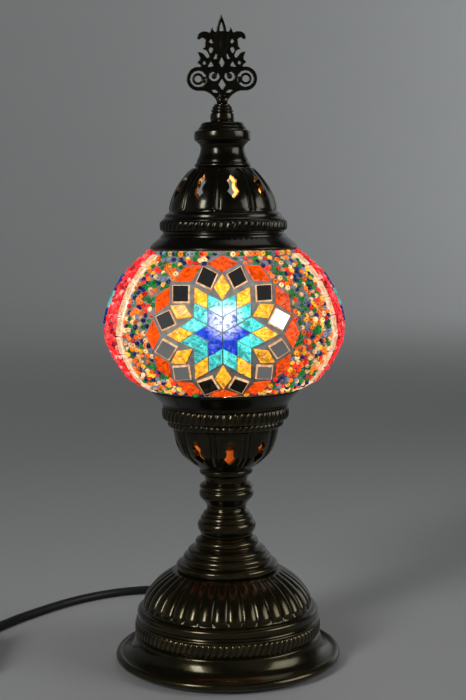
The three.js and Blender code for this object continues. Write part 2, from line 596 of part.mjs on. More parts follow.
function addSwitch() {
  const y = SWITCH_BACK_Y - SWITCH_LENGTH / 2;
  const wall = 2;
  const innerWidth = SWITCH_WIDTH - 2 * wall;
  const innerLength = SWITCH_LENGTH - 2 * wall;
  const tray = hollowed(
    roundedBox(SWITCH_WIDTH, SWITCH_LENGTH, SWITCH_SPLIT_Z, 6),
    roundedBox(innerWidth, innerLength, SWITCH_SPLIT_Z, 4.5).translate(0, 0, wall),
  );
  const lidHeight = SWITCH_HEIGHT - SWITCH_SPLIT_Z - GAP;
  const lid = hollowed(
    roundedBox(SWITCH_WIDTH, SWITCH_LENGTH, lidHeight, 6),
    roundedBox(innerWidth, innerLength, lidHeight - wall, 4.5).translate(0, 0, -0.01),
  ).subtract(solid(new THREE.BoxGeometry(ROCKER_WIDTH + 3 * GAP, ROCKER_WINDOW, 20)));
  add('switch_housing_bottom', geometryOf(tray).translate(SWITCH_X, y, 0), BLACK_PLASTIC);
  add('switch_housing_top', geometryOf(lid).translate(SWITCH_X, y, SWITCH_SPLIT_Z + GAP), BLACK_PLASTIC);
  const corner = (angle) => [ROCKER_R * Math.cos(radians(angle)), ROCKER_R * Math.sin(radians(angle))];
  const profile = new THREE.Shape([
    corner(190), [-4, -2.4], [4, -2.4], corner(-10), corner(10), corner(ROCKER_HIGH - 14),
    corner(ROCKER_HIGH), [0, 4.9], corner(180 - ROCKER_LOW), corner(170),
  ].map(([along, z]) => new THREE.Vector2(along, z + ROCKER_PIVOT_Z)));
  const rocker = upright(profile, ROCKER_WIDTH).rotateZ(Math.PI / 2).translate(SWITCH_X, y, 0);
  add('switch_rocker', rocker, BLACK_PLASTIC);
}

function addPlug() {
  const body = new THREE.Shape();
  const half = 13;
  body.moveTo(-4.5, PLUG_Y);
  body.lineTo(4.5, PLUG_Y);
  body.lineTo(5.2, PLUG_Y + 10);
  body.quadraticCurveTo(half - 3, PLUG_Y + 14, half, PLUG_Y + 22);
  body.lineTo(half, PLUG_Y + PLUG_LENGTH);
  body.lineTo(-half, PLUG_Y + PLUG_LENGTH);
  body.lineTo(-half, PLUG_Y + 22);
  body.quadraticCurveTo(3 - half, PLUG_Y + 14, -5.2, PLUG_Y + 10);
  const options = { depth: 2 * PLUG_Z, bevelEnabled: false, curveSegments: 4 };
  add('plug_body', new THREE.ExtrudeGeometry(body, options).translate(PLUG_X, 0, 0), BLACK_PLASTIC);
  const start = PLUG_Y + PLUG_LENGTH + GAP;
  [-1, 1].forEach((side, i) => {
    const pin = plainCylinder(2, start, start + PIN_LENGTH, 12).rotateX(-Math.PI / 2);
    add(`plug_pin_${i + 1}`, pin.translate(PLUG_X + (side * PIN_SPACING) / 2, 0, PLUG_Z), BRASS);
  });
}

function addLead() {
  add('cord_bush', cordBush(), BLACK_PLASTIC);
  add('cord_inner', tube(INNER_ROUTE, CORD_R, CORD_SIDES, 20), BLACK_PLASTIC);
  add('cord_lead', tube(LEAD_ROUTE, CORD_R, CORD_SIDES, 28), BLACK_PLASTIC);
  addSwitch();
  add('cord_link', tube(LINK_ROUTE, CORD_R, CORD_SIDES, 3), BLACK_PLASTIC);
  const section = [
    [COIL_IN_R, 2], [COIL_IN_R + 2, 0], [COIL_OUT_R - 2, 0], [COIL_OUT_R, 2], [COIL_OUT_R, COIL_HEIGHT - 2],
    [COIL_OUT_R - 2, COIL_HEIGHT], [COIL_IN_R + 2, COIL_HEIGHT], [COIL_IN_R, COIL_HEIGHT - 2],
  ];
  const tieBox = (width, inset) => solid(
    new THREE.BoxGeometry(width, COIL_OUT_R - COIL_IN_R + 0.8 - 2 * inset, COIL_HEIGHT - 2 * inset)
      .translate(0, -(COIL_OUT_R + COIL_IN_R) / 2, COIL_HEIGHT / 2),
  );
  const tie = tieBox(TIE_WIDTH, 0).subtract(tieBox(TIE_WIDTH + 2, TIE_T));
  const tieRecess = tieBox(TIE_WIDTH + 2 * GAP, -1).subtract(tieBox(TIE_WIDTH + 4, TIE_T + GAP));
  const coil = solid(turned(section, 20)).subtract(tieRecess);
  add('cord_coil', geometryOf(coil).translate(COIL_X, COIL_Y, 0), BLACK_PLASTIC);
  add('cord_tie', geometryOf(tie).translate(COIL_X, COIL_Y, 0), BLACK_PLASTIC);
  addPlug();
  add('cord_tail', tube(TAIL_ROUTE, CORD_R, CORD_SIDES, 3), BLACK_PLASTIC);
}

addBaseAndStem();
addCup();
addLampholder();
addBulb();
addGlobe();
addCap();
addLead();

export default lamp;
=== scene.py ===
"""Mosaic glass table lamp: the finished look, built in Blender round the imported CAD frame.

Outlines are in millimetres, in the frame of the CAD: +Z up, the origin under the middle of the
base, the front of the lamp towards -Y. An azimuth is in degrees from the front, towards +X.
"""
import math
import random

import bmesh
import bpy
import numpy as np
from mathutils import Matrix, Vector, geometry


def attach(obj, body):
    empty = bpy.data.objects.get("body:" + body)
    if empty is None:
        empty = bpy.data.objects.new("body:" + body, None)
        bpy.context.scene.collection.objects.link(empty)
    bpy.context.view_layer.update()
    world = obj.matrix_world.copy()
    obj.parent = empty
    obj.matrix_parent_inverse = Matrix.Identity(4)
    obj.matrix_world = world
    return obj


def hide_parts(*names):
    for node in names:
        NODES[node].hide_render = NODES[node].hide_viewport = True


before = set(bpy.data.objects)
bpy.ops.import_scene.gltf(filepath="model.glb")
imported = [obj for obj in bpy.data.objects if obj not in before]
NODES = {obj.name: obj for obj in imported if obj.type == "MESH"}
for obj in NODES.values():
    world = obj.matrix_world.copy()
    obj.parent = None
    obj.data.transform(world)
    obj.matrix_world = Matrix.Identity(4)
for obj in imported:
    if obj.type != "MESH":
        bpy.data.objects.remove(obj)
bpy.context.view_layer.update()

MM = 0.001

# ---------------------------------------------------------------- shared sizes, from the frame
WINDOWS = 9
GORE = 360 / WINDOWS
CAP_WINDOW_AZIMUTH = 11.9
CUP_WINDOW_AZIMUTH = 4.9
BASE_TOP_Z = 49.2
CORD_R = 2.5
CORD_EXIT_Z = 17
STAR_Z = 181
# Height of a painted hot spot on the glass tiles: a painted glow where the bulb would show through.
HOT_SPOT_Z = 0.1875  # metres: where the bulb shows through the medallions
STAR_AZIMUTHS = {"front": -1, "rear": 179}
STRIP_LEFT = -58.4
STRIP_RIGHT = 63.5
BULB_R = 22.5
BULB_MID_Z = 186
SWITCH_X = -143
SWITCH_Y = -12
PLUG_X = -209
COIL_X = -176
COIL_Y = -75


# ---------------------------------------------------------------- camera and lights
def add_camera():
    pitch, pan, roll = (math.radians(a) for a in (5.95, 0.35, -0.57))
    forward = Vector((math.sin(pan) * math.cos(pitch), math.cos(pan) * math.cos(pitch), -math.sin(pitch)))
    right = Vector((math.cos(pan), -math.sin(pan), 0))
    up = right.cross(forward)
    across = right * math.cos(roll) + up * math.sin(roll)
    above = up * math.cos(roll) - right * math.sin(roll)
    data = bpy.data.cameras.new("Camera")
    data.lens = 69.43
    camera = bpy.data.objects.new("Camera", data)
    camera.matrix_world = Matrix.Translation((0, -0.7062, 0.240)) @ Matrix(
        (across, above, -forward)
    ).transposed().to_4x4()
    bpy.context.collection.objects.link(camera)
    bpy.context.scene.camera = camera


def direction(azimuth, elevation):
    a, e = math.radians(azimuth), math.radians(elevation)
    return Vector((math.sin(a) * math.cos(e), -math.cos(a) * math.cos(e), math.sin(e)))


def add_softbox(name, place, target, size, power, spread=180):
    """A rectangular soft light at a place, in metres, that points at a target."""
    data = bpy.data.lights.new(name, "AREA")
    data.shape = "RECTANGLE"
    data.size, data.size_y = size
    data.energy = power
    data.spread = math.radians(spread)
    light = bpy.data.objects.new(name, data)
    light.location = place
    light.rotation_euler = (Vector(place) - Vector(target)).to_track_quat("Z", "Y").to_euler()
    light.visible_camera = False
    bpy.context.collection.objects.link(light)
    return light


def add_lights():
    middle = Vector((0, 0, 0.17))
    add_softbox("key_softbox", middle + direction(-38, 24) * 1.15, middle, (0.24, 0.55), 1.25, 70)
    add_softbox("side_softbox", middle + direction(72, 20) * 1.25, middle, (0.8, 0.7), 1.5, 76)
    add_softbox("rim_softbox", middle + direction(150, 68) * 1.5, middle, (0.9, 0.9), 0.6, 90)
    ceiling = add_softbox("ceiling", (0, 2.2, 2.6), (0.2, 3.4, 0.5), (3, 1.4), 21)
    back = add_softbox("back_wash", (1.9, 1.9, 1.3), (1.35, 3.6, 0.5), (0.7, 0.7), 32)
    left = add_softbox("left_wash", (-1.5, 0.25, 1.7), (-3.2, 0.2, 0.2), (0.9, 0.9), 24)
    front = add_softbox("front_wash", (1.1, -1.5, 1.7), (2.1, -2.9, 0.2), (0.9, 0.9), 24)
    for light in (ceiling, back, left, front):
        light.visible_glossy = False
    data = bpy.data.lights.new("bulb_light", "POINT")
    data.energy = 0.42
    data.color = (1, 0.86, 0.66)
    data.shadow_soft_size = 0.0055
    light = bpy.data.objects.new("bulb_light", data)
    light.location = (0, 0, 0.189)
    bpy.context.collection.objects.link(light)
    world = bpy.data.worlds.new("World")
    world.use_nodes = True
    world.node_tree.nodes["Background"].inputs["Color"].default_value = (0.03, 0.031, 0.031, 1)
    world.node_tree.nodes["Background"].inputs["Strength"].default_value = 1
    bpy.context.scene.world = world
    bpy.context.scene.view_settings.view_transform = "Standard"


# ---------------------------------------------------------------- shader helpers
class Shader:
    """A material under construction; each call adds one node and returns its main output."""

    def __init__(self, name):
        self.material = bpy.data.materials.new(name)
        self.material.use_nodes = True
        self.tree = self.material.node_tree
        self.surface = self.tree.nodes["Principled BSDF"]
        self.output = self.tree.nodes["Material Output"]
        self.place = self.node("ShaderNodeTexCoord").outputs["Object"]

    def node(self, kind, inputs=None, **settings):
        made = self.tree.nodes.new(kind)
        for key, value in settings.items():
            setattr(made, key, value)
        self.fill(made, inputs or {})
        return made

    def fill(self, made, inputs):
        for key, value in inputs.items():
            if isinstance(value, bpy.types.NodeSocket):
                self.tree.links.new(value, made.inputs[key])
            else:
                made.inputs[key].default_value = value

    def noise(self, scale, detail=3, distortion=0.0, roughness=0.55):
        grain = {"Scale": scale, "Detail": detail, "Distortion": distortion, "Roughness": roughness}
        return self.node("ShaderNodeTexNoise", {"Vector": self.place, **grain}).outputs["Fac"]

    def cells(self, scale):
        made = self.node("ShaderNodeTexVoronoi", {"Vector": self.place, "Scale": scale})
        return made.outputs["Distance"]

    def spread(self, value, low, high, start, end):
        made = self.node(
            "ShaderNodeMapRange",
            {"Value": value, "From Min": low, "From Max": high, "To Min": start, "To Max": end},
        )
        return made.outputs["Result"]

    def maths(self, operation, first, second):
        made = self.node("ShaderNodeMath", {0: first, 1: second}, operation=operation)
        return made.outputs["Value"]

    def mix(self, share, first, second, blend="MIX"):
        made = self.node("ShaderNodeMix", data_type="RGBA", blend_type=blend)
        self.fill(made, {0: share, 6: first, 7: second})
        return made.outputs[2]

    def bump(self, height, strength, distance):
        made = self.node("ShaderNodeBump", {"Height": height, "Strength": strength, "Distance": distance})
        return made.outputs["Normal"]

    def tint(self):
        return self.node("ShaderNodeAttribute", attribute_name="tint").outputs["Color"]

    def done(self, **inputs):
        self.fill(self.surface, {key.replace("_", " "): value for key, value in inputs.items()})
        return self.material


def rgba(colour):
    return (*colour, 1)


def bronze():
    """Dark antique bronze lacquer, rubbed to a gold brown on its ridges, and browner and more golden towards
    the bottom.
    """
    s = Shader("antique_bronze")
    patches = s.noise(55, 4)
    height = s.node("ShaderNodeSeparateXYZ", {"Vector": s.place}).outputs["Z"]
    # Browner and more golden towards the bottom.
    low = s.spread(height, 0.19, 0.05, 0.25, 1)
    brown = s.mix(low, rgba((0.018, 0.017, 0.011)), rgba((0.042, 0.035, 0.012)))
    dark = s.mix(patches, rgba((0.005, 0.0047, 0.003)), brown)
    edge = s.node("ShaderNodeNewGeometry").outputs["Pointiness"]
    rubbed = s.spread(edge, 0.505, 0.6, 0, 0.8)
    worn = s.maths("MULTIPLY", rubbed, s.maths("MULTIPLY", s.spread(s.noise(130), 0.35, 0.65, 0.2, 1), low))
    colour = s.mix(worn, dark, rgba((0.24, 0.175, 0.075)))
    grain = s.noise(1500, 2)
    return s.done(
        Base_Color=colour,
        Metallic=0.85,
        Roughness=s.spread(s.noise(240, 4), 0.3, 0.7, 0.15, 0.27),
        Coat_Weight=0.2,
        Coat_Roughness=0.08,
        Normal=s.bump(grain, 0.12, 0.0001),
    )


def plain_metal(name, colour, roughness):
    s = Shader(name)
    streaks = s.noise(420, 5)
    return s.done(
        Base_Color=s.mix(streaks, rgba(colour), rgba([c * 0.6 for c in colour])),
        Metallic=1.0,
        Roughness=s.spread(streaks, 0.3, 0.7, roughness - 0.08, roughness + 0.12),
        Normal=s.bump(s.noise(2200, 2), 0.1, 0.0001),
    )


def brass_and_painted_warm_light():
    """The unlacquered brass inside the pierced domes, coloured a deep orange that also paints the bulb's warm
    light on it.
    """
    s = Shader("brass_and_painted_warm_light")
    return s.done(
        Base_Color=s.mix(s.noise(220, 4), rgba((0.75, 0.3, 0.06)), rgba((0.95, 0.5, 0.14))),
        Metallic=0.25,
        Roughness=s.spread(s.noise(600), 0.3, 0.7, 0.4, 0.6),
        Normal=s.bump(s.noise(1400, 2), 0.15, 0.0001),
    )


def black_plastic(name, roughness):
    s = Shader(name)
    return s.done(
        Base_Color=s.mix(s.noise(90), rgba((0.003, 0.003, 0.003)), rgba((0.009, 0.009, 0.0095))),
        Specular_IOR_Level=0.25,
        Roughness=s.spread(s.noise(500), 0.3, 0.7, roughness - 0.06, roughness + 0.08),
        Normal=s.bump(s.cells(2600), 0.15, 0.0001),
    )


def art_glass(name, glow, see_through, streak):
    """Streaky coloured glass whose emission paints the bulb's light coming through it, palest in a painted
    hot spot where the bulb stands close behind it.
    """
    s = Shader(name)
    tint = s.tint()
    where = s.node("ShaderNodeSeparateXYZ", {"Vector": s.place}).outputs
    above = s.maths("SUBTRACT", where["Z"], HOT_SPOT_Z)
    squares = s.maths("ADD", s.maths("MULTIPLY", where["X"], where["X"]), s.maths("MULTIPLY", above, above))
    away = s.maths("SQRT", squares, 0.0)
    swirl = s.noise(190, 5, 2.6)
    veins = s.noise(480, 4, 3.0)
    streaks = s.spread(swirl, 0.36, 0.64, 0.35, 1.5)
    level = s.maths("MULTIPLY", streaks, s.spread(veins, 0.35, 0.65, 0.62, 1.25))
    pale = s.mix(s.spread(s.noise(170, 4, 2.2), 0.52, 0.7, 0, streak), tint, rgba((1, 1, 1)))
    # Painted light: the glow is brighter close to the hot spot and dimmer away from it.
    level = s.maths("MULTIPLY", level, s.spread(away, 0.007, 0.03, 1.25, 0.75))
    # Painted highlight: a pale blue-white spot where the bulb would show through the glass.
    painted_hot_spot = s.maths("MULTIPLY", s.spread(away, 0.0035, 0.0105, 1, 0), s.spread(swirl, 0.38, 0.52, 0.15, 1))
    glowing = s.mix(painted_hot_spot, s.mix(1.0, pale, level, "MULTIPLY"), rgba((0.8, 0.88, 1.0)))
    s.done(
        Base_Color=s.mix(0.7, tint, rgba((0.0, 0.0, 0.0))),
        Roughness=0.07,
        Specular_IOR_Level=0.3,
        Emission_Color=glowing,
        Emission_Strength=glow,
        Normal=s.bump(swirl, 0.35, 0.0004),
    )
    through = s.node("ShaderNodeGamma", {"Color": tint, "Gamma": 0.6}).outputs[0]
    clear = s.node("ShaderNodeBsdfTransparent", {"Color": through})
    both = s.node("ShaderNodeMixShader", {0: see_through, 1: s.surface.outputs[0], 2: clear.outputs[0]})
    s.tree.links.new(both.outputs[0], s.output.inputs["Surface"])
    return s.material


def bead_glass():
    # The emission paints the bulb's light coming through the beads.
    s = Shader("bead_glass")
    tint = s.tint()
    level = s.spread(s.noise(700, 2), 0.3, 0.7, 0.5, 1.4)
    return s.done(
        Base_Color=s.mix(0.5, tint, rgba((0.0, 0.0, 0.0))),
        Roughness=0.1,
        Emission_Color=s.mix(1.0, tint, level, "MULTIPLY"),
        Emission_Strength=0.95,
        Normal=s.bump(s.noise(1500, 2), 0.2, 0.0001),
    )


def cream_glass(name, low, high, strength):
    # The emission paints the bulb's light coming through the cream glass.
    s = Shader(name)
    swirl = s.noise(300, 4, 1.5)
    return s.done(
        Base_Color=rgba((0.3, 0.22, 0.14)),
        Roughness=0.1,
        Emission_Color=s.mix(s.spread(swirl, 0.4, 0.6, 0, 1), rgba(low), rgba(high)),
        Emission_Strength=strength,
        Normal=s.bump(swirl, 0.4, 0.0004),
    )


def mirror_glass():
    s = Shader("mirror_glass")
    return s.done(
        Base_Color=s.mix(s.noise(160), rgba((0.66, 0.65, 0.63)), rgba((0.82, 0.81, 0.79))),
        Metallic=1.0,
        Roughness=s.spread(s.noise(800), 0.3, 0.7, 0.03, 0.09),
        Normal=s.bump(s.noise(180, 2), 0.06, 0.0003),
    )


def grout():
    s = Shader("grey_grout")
    grain = s.noise(1300, 5)
    patches = s.spread(s.noise(260, 4), 0.3, 0.7, 0, 1)
    return s.done(
        Base_Color=s.mix(patches, rgba((0.2, 0.2, 0.195)), rgba((0.36, 0.36, 0.35))),
        Roughness=s.spread(grain, 0.3, 0.7, 0.75, 0.95),
        Normal=s.bump(grain, 0.6, 0.0002),
    )


def clear_glass(name, glow, weight):
    """Thin clear or lightly frosted glass with a soft emitted glow; on the globe's glass this glow is painted
    light from the bulb.
    """
    s = Shader(name)
    haze = s.spread(s.noise(60, 3), 0.3, 0.7, 0.8, 1.2)
    s.done(
        Base_Color=s.mix(haze, rgba((0.8, 0.76, 0.7)), rgba((0.95, 0.92, 0.88))),
        Roughness=0.06,
        Emission_Color=rgba((1, 0.78, 0.5)),
        Emission_Strength=glow,
    )
    clear = s.node("ShaderNodeBsdfTransparent", {"Color": rgba((0.97, 0.97, 0.96))})
    both = s.node("ShaderNodeMixShader", {0: weight, 1: s.surface.outputs[0], 2: clear.outputs[0]})
    s.tree.links.new(both.outputs[0], s.output.inputs["Surface"])
    return s.material


def bulb_gas(name, strength):
    """The glow round the filament: light from a soft ball of lit gas."""
    s = Shader(name)
    s.done(Alpha=0.0, Roughness=1.0)
    glow = s.node("ShaderNodeEmission", {"Color": rgba((1, 0.88, 0.72)), "Strength": strength})
    s.tree.links.new(glow.outputs[0], s.output.inputs["Volume"])
    return s.material


def glowing_wire():
    s = Shader("glowing_wire")
    return s.done(
        Base_Color=rgba((0.3, 0.2, 0.1)),
        Roughness=0.5,
        Emission_Color=s.mix(s.noise(900), rgba((1, 0.62, 0.25)), rgba((1, 0.8, 0.5))),
        Emission_Strength=25,
    )


def porcelain():
    s = Shader("porcelain")
    return s.done(
        Base_Color=s.mix(s.noise(120), rgba((0.75, 0.73, 0.68)), rgba((0.86, 0.85, 0.82))),
        Roughness=s.spread(s.noise(500), 0.3, 0.7, 0.18, 0.3),
        Coat_Weight=0.4,
        Normal=s.bump(s.noise(900), 0.05, 0.0001),
    )


def felt():
    s = Shader("black_felt")
    fibres = s.noise(2600, 6, 1.0)
    return s.done(
        Base_Color=s.mix(fibres, rgba((0.008, 0.009, 0.008)), rgba((0.03, 0.032, 0.03))),
        Roughness=0.95,
        Sheen_Weight=0.4,
        Normal=s.bump(fibres, 0.7, 0.0003),
    )


def studio_grey():
    s = Shader("studio_grey")
    return s.done(
        Base_Color=s.mix(s.noise(3, 2), rgba((0.29, 0.3, 0.302)), rgba((0.31, 0.32, 0.322))),
        Roughness=0.9,
        Normal=s.bump(s.noise(700, 3), 0.05, 0.0002),
    )


# ---------------------------------------------------------------- mesh helpers
def smoothstep(value, start, end):
    share = min(max((value - start) / (end - start), 0), 1)
    return share * share * (3 - 2 * share)


def polar(azimuth, radius, z):
    angle = math.radians(azimuth)
    return (radius * math.sin(angle), -radius * math.cos(angle), z)


def even_azimuths(count):
    return [360 * i / count for i in range(count)]


def catmull_rom(points, steps):
    """A smooth curve through the points, in any number of dimensions."""
    p = [np.array(point, float) for point in points]
    p = [2 * p[0] - p[1], *p, 2 * p[-1] - p[-2]]
    line = []
    for a, b, c, d in zip(p, p[1:], p[2:], p[3:]):
        for i in range(steps):
            t = i / steps
            bend, twist = 2 * a - 5 * b + 4 * c - d, 3 * b - a - 3 * c + d
            line.append(0.5 * (2 * b + (c - a) * t + bend * t**2 + twist * t**3))
    line.append(p[-2])
    return line


def filleted(outline, radius=0.6, steps=3):
    """An open outline with its inner corners rounded off; a third value is a corner's own radius."""
    rounded = [outline[0][:2]]
    for before, corner, after in zip(outline, outline[1:], outline[2:]):
        size = corner[2] if len(corner) > 2 else radius
        c = Vector(corner[:2])
        back, ahead = Vector(before[:2]) - c, Vector(after[:2]) - c
        reach = min(size, 0.45 * back.length, 0.45 * ahead.length)
        if reach < 0.02:
            rounded.append(tuple(c))
            continue
        start, end = c + back.normalized() * reach, c + ahead.normalized() * reach
        for i in range(steps + 1):
            t = i / steps
            rounded.append(tuple(start * (1 - t) ** 2 + c * 2 * t * (1 - t) + end * t**2))
    rounded.append(outline[-1][:2])
    return rounded


def ring_faces(rings, count, closed=False):
    """Four-sided faces between rings of points that follow one another."""
    faces = []
    for ring in range(rings if closed else rings - 1):
        a, b = ring * count, (ring + 1) % rings * count
        for j in range(count):
            k = (j + 1) % count
            faces.append((a + j, a + k, b + k, b + j))
    return faces


def end_faces(rings, count):
    last = (rings - 1) * count
    return [tuple(range(count)), tuple(range(last, last + count))]


def lathe(outline, azimuths, shape=None, shaped_rows=0):
    """Points and faces of a turned solid. shape moves the points of the first shaped_rows rows."""
    points = []
    for row, (radius, z) in enumerate(outline):
        for azimuth in azimuths:
            r = shape(radius, z, azimuth) if row < shaped_rows else radius
            points.append(polar(azimuth, r, z))
    on_axis = outline[0][0] == 0 and outline[-1][0] == 0
    return points, ring_faces(len(outline), len(azimuths), closed=not on_axis)


def finish_piece(piece, material, body, replaces, crease):
    mesh = piece.data
    for m in material if isinstance(material, (list, tuple)) else [material]:
        mesh.materials.append(m)
    mesh.shade_smooth()
    mesh.set_sharp_from_angle(angle=math.radians(crease))
    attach(piece, body)
    if replaces:
        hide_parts(*replaces)
    return piece


def face_outwards(mesh, weld=0.0):
    work = bmesh.new()
    work.from_mesh(mesh)
    if weld:
        bmesh.ops.remove_doubles(work, verts=work.verts, dist=weld)
    bmesh.ops.recalc_face_normals(work, faces=work.faces)
    work.to_mesh(mesh)
    work.free()


def new_piece(name, points, faces, material, slot, body="lamp_body", replaces=(), crease=38, weld=True):
    """A mesh piece that rides on a body. Its points are in millimetres."""
    mesh = bpy.data.meshes.new(name)
    mesh.from_pydata((np.array(points) * MM).tolist(), [], faces)
    if weld:
        face_outwards(mesh, 1e-7)
    piece = bpy.data.objects.new(name, mesh)
    bpy.context.collection.objects.link(piece)
    return finish_piece(piece, material, body, replaces, crease)


def turned(name, outline, material, slot, count=96, fillet=0.6, **facts):
    return new_piece(name, *lathe(filleted(outline, fillet), even_azimuths(count)), material, slot, **facts)


def apply_modifiers(piece):
    bpy.context.view_layer.objects.active = piece
    for modifier in list(piece.modifiers):
        bpy.ops.object.modifier_apply(modifier=modifier.name)


def cut_away(piece, points, faces):
    """Cuts a closed solid, in millimetres, out of a piece."""
    mesh = bpy.data.meshes.new("cutter")
    mesh.from_pydata((np.array(points) * MM).tolist(), [], faces)
    face_outwards(mesh)
    cutter = bpy.data.objects.new("cutter", mesh)
    bpy.context.collection.objects.link(cutter)
    modifier = piece.modifiers.new("cut", "BOOLEAN")
    modifier.object = cutter
    modifier.operation = "DIFFERENCE"
    modifier.solver = "EXACT"
    apply_modifiers(piece)
    bpy.data.objects.remove(cutter)
    piece.data.set_sharp_from_angle(angle=math.radians(38))


def tube_mesh(path, radius, sides=10):
    """Points and faces of a round tube with flat ends along a path."""
    path = [Vector(p) for p in path]
    points = []
    side = Vector((0.3, 0.5, 0.8))
    for i, centre in enumerate(path):
        along = (path[min(i + 1, len(path) - 1)] - path[max(i - 1, 0)]).normalized()
        side = (side - along * side.dot(along)).normalized()
        other = along.cross(side)
        for j in range(sides):
            angle = 2 * math.pi * j / sides
            points.append(tuple(centre + (side * math.cos(angle) + other * math.sin(angle)) * radius))
    return points, ring_faces(len(path), sides) + end_faces(len(path), sides)


def rope_ring(name, radius, bottom, top, proud, twists, slot="bronze", body="lamp_body", lean=0.75):
    """A cast rope moulding: slanting round strands on a half-round band."""
    rows, per_twist = 8, 7
    middle, half = (bottom + top) / 2, (top - bottom) / 2
    azimuths = even_azimuths(twists * per_twist)
    outline = [(radius - 1.5, top), (radius - 1.5, bottom)]
    outline += [(radius, middle - half * math.cos(math.pi * i / rows)) for i in range(rows + 1)]
    points = []
    for row, (r, z) in enumerate(outline):
        across = (row - 2) / rows
        for azimuth in azimuths:
            if row >= 2:
                phase = (azimuth * twists / 360 - lean * across) % 1
                strand = math.sqrt(1 - (1.9 * phase - 0.95) ** 2)
                r = radius + proud * math.sin(math.pi * across) ** 0.45 * (0.25 + 0.75 * strand)
            points.append(polar(azimuth, r, z))
    faces = lathe(outline, azimuths)[1]
    return new_piece(name, points, faces, BRONZE, slot, body=body, crease=60)


# ---------------------------------------------------------------- base and stem
DOME_MID_Z = 27
DOME_R = 45.6
DOME_HEIGHT = 28.5
FLUTES = 36
FLUTE_LOW_Z = 30.3
FLUTE_HIGH_Z = 49


def dome_radius(z):
    return DOME_R * math.sqrt(1 - ((z - DOME_MID_Z) / DOME_HEIGHT) ** 2)


def fluted(radius, z, azimuth):
    """Convex gadroons with narrow grooves and rounded lower ends."""
    if z <= FLUTE_LOW_Z:
        return radius
    across = 2 * ((azimuth * FLUTES / 360) % 1) - 1
    lobe = math.sqrt(1 - (0.98 * across) ** 2)
    depth = 1.9 * radius / DOME_R
    end = math.sqrt(smoothstep(z, FLUTE_LOW_Z, 33)) * (1 - smoothstep(z, 48.4, FLUTE_HIGH_Z + 0.4))
    return radius - 0.9 * (1 - smoothstep(z, 48, 49.2)) + depth * (lobe - 0.35) * end


def add_base():
    turned("felt_sole", [(0, 0), (55.5, 0), (55.5, 1.5), (0, 1.5)], felt(), "felt", replaces=["felt_pad"])
    outside = filleted([
        (52, 1.8), (58.2, 1.8, 1), (60, 3.2, 1.4), (60, 5, 1.4), (58.4, 6.7, 0.8), (57, 6.4, 0.4),
        (56.6, 5.6, 0.4), (55.8, 5.8, 0.4), (53.6, 7, 2), (51.5, 9, 3), (50.1, 12, 3), (49.5, 14.6, 0.4),
        (48.4, 15.4, 0.3), (48, 15.9, 0.3), (48, 22.2, 0.3), (48.9, 22.6, 0.3), (48.9, 23.4, 0.4),
        (47.9, 23.8, 0.3), (47.5, 24.9, 0.5), (48.1, 25.6, 0.8), (48.2, 28.4, 0.9), (47, 29.5, 0.6),
        (45.2, 29.9, 0.3), (44.9, FLUTE_LOW_Z, 0.2),
    ])
    rows = 26
    for i in range(1, rows + 1):
        z = FLUTE_LOW_Z + (FLUTE_HIGH_Z - FLUTE_LOW_Z) * math.sin(math.pi / 2 * i / rows)
        outside.append((dome_radius(z), z))
    outside.append((24.5, BASE_TOP_Z))
    inside = [
        (5.4, BASE_TOP_Z), (5.4, 46.6), (24, 46.4), (33, 41), (40.4, 33), (43.4, 26), (45.6, 17), (51.5, 6),
    ]
    azimuths = even_azimuths(FLUTES * 12)
    new_piece(
        "base_casting", *lathe(outside + inside, azimuths, fluted, len(outside)), BRONZE, "bronze",
        replaces=["base_dome"], crease=50,
    )
    rope_ring("base_rope", 47.9, 15.7, 22.5, 1.7, 96)
    turned("stem_collar", [
        (5.4, 49.5), (26.4, 49.5, 0.8), (27.1, 50.4, 0.8), (27.1, 52.6, 1), (25.8, 53.5, 0.5),
        (23.6, 54, 0.4), (23.3, 54.7, 0.4), (23.4, 56.6, 1), (22.6, 57.6, 0.6), (20.9, 58.2, 0.4),
        (20.9, 60, 0.9), (20, 61, 0.6), (17.2, 61.9, 0.8), (16.2, 62.9, 0.5), (16.8, 63.9, 0.8),
        (16.7, 65.4, 0.8), (15, 66.5, 0.5), (14, 67.6), (5.4, 67.6),
    ], BRONZE, "bronze", replaces=["base_collar"])
    turned("stem_bead_lower", [
        (5.4, 67.9), (13.7, 67.9, 0.4), (14.1, 69.4, 1), (15.3, 71.4, 1.5), (15.6, 73.8, 1.5),
        (15, 75.4, 0.8), (13.7, 76, 0.4), (13.9, 77, 0.5), (13.5, 78.3, 0.5), (12.3, 78.8, 0.3),
        (12.4, 79.9, 0.4), (11.7, 80.7, 0.4), (10.9, 81.2, 0.4), (10.4, 82.2, 0.4), (10.4, 82.9),
        (5.4, 82.9),
    ], BRONZE, "bronze", replaces=["stem_lower_bead"])
    turned("stem_bead_upper", [
        (5.4, 83.2), (10.5, 83.2, 0.3), (10.7, 84.6, 0.8), (12.6, 87, 1.2), (14, 88.3, 1), (14.5, 90, 1),
        (14.3, 91.8, 0.8), (13.5, 92.6, 0.3), (13.7, 93.2, 0.3), (14.4, 94.2, 0.8), (13.4, 95.6, 0.9),
        (11.6, 96.6, 0.4), (5.4, 96.6),
    ], BRONZE, "bronze", replaces=["stem_upper_bead"])


# ---------------------------------------------------------------- pierced domes
def ogee_outline(bottom, top, width):
    """One window: two diamonds with hollow sides that run into each other at a waist."""
    def at(share):
        return bottom + (top - bottom) * share

    half = width / 2
    right = [
        (0, at(0)), (0.42 * half, at(0.13)), (half, at(0.3)), (0.66 * half, at(0.4)), (0.58 * half, at(0.52)),
        (0.66 * half, at(0.62)), (0.88 * half, at(0.72)), (0.36 * half, at(0.86)), (0, at(1)),
    ]
    return right + [(-x, z) for x, z in reversed(right[1:-1])]


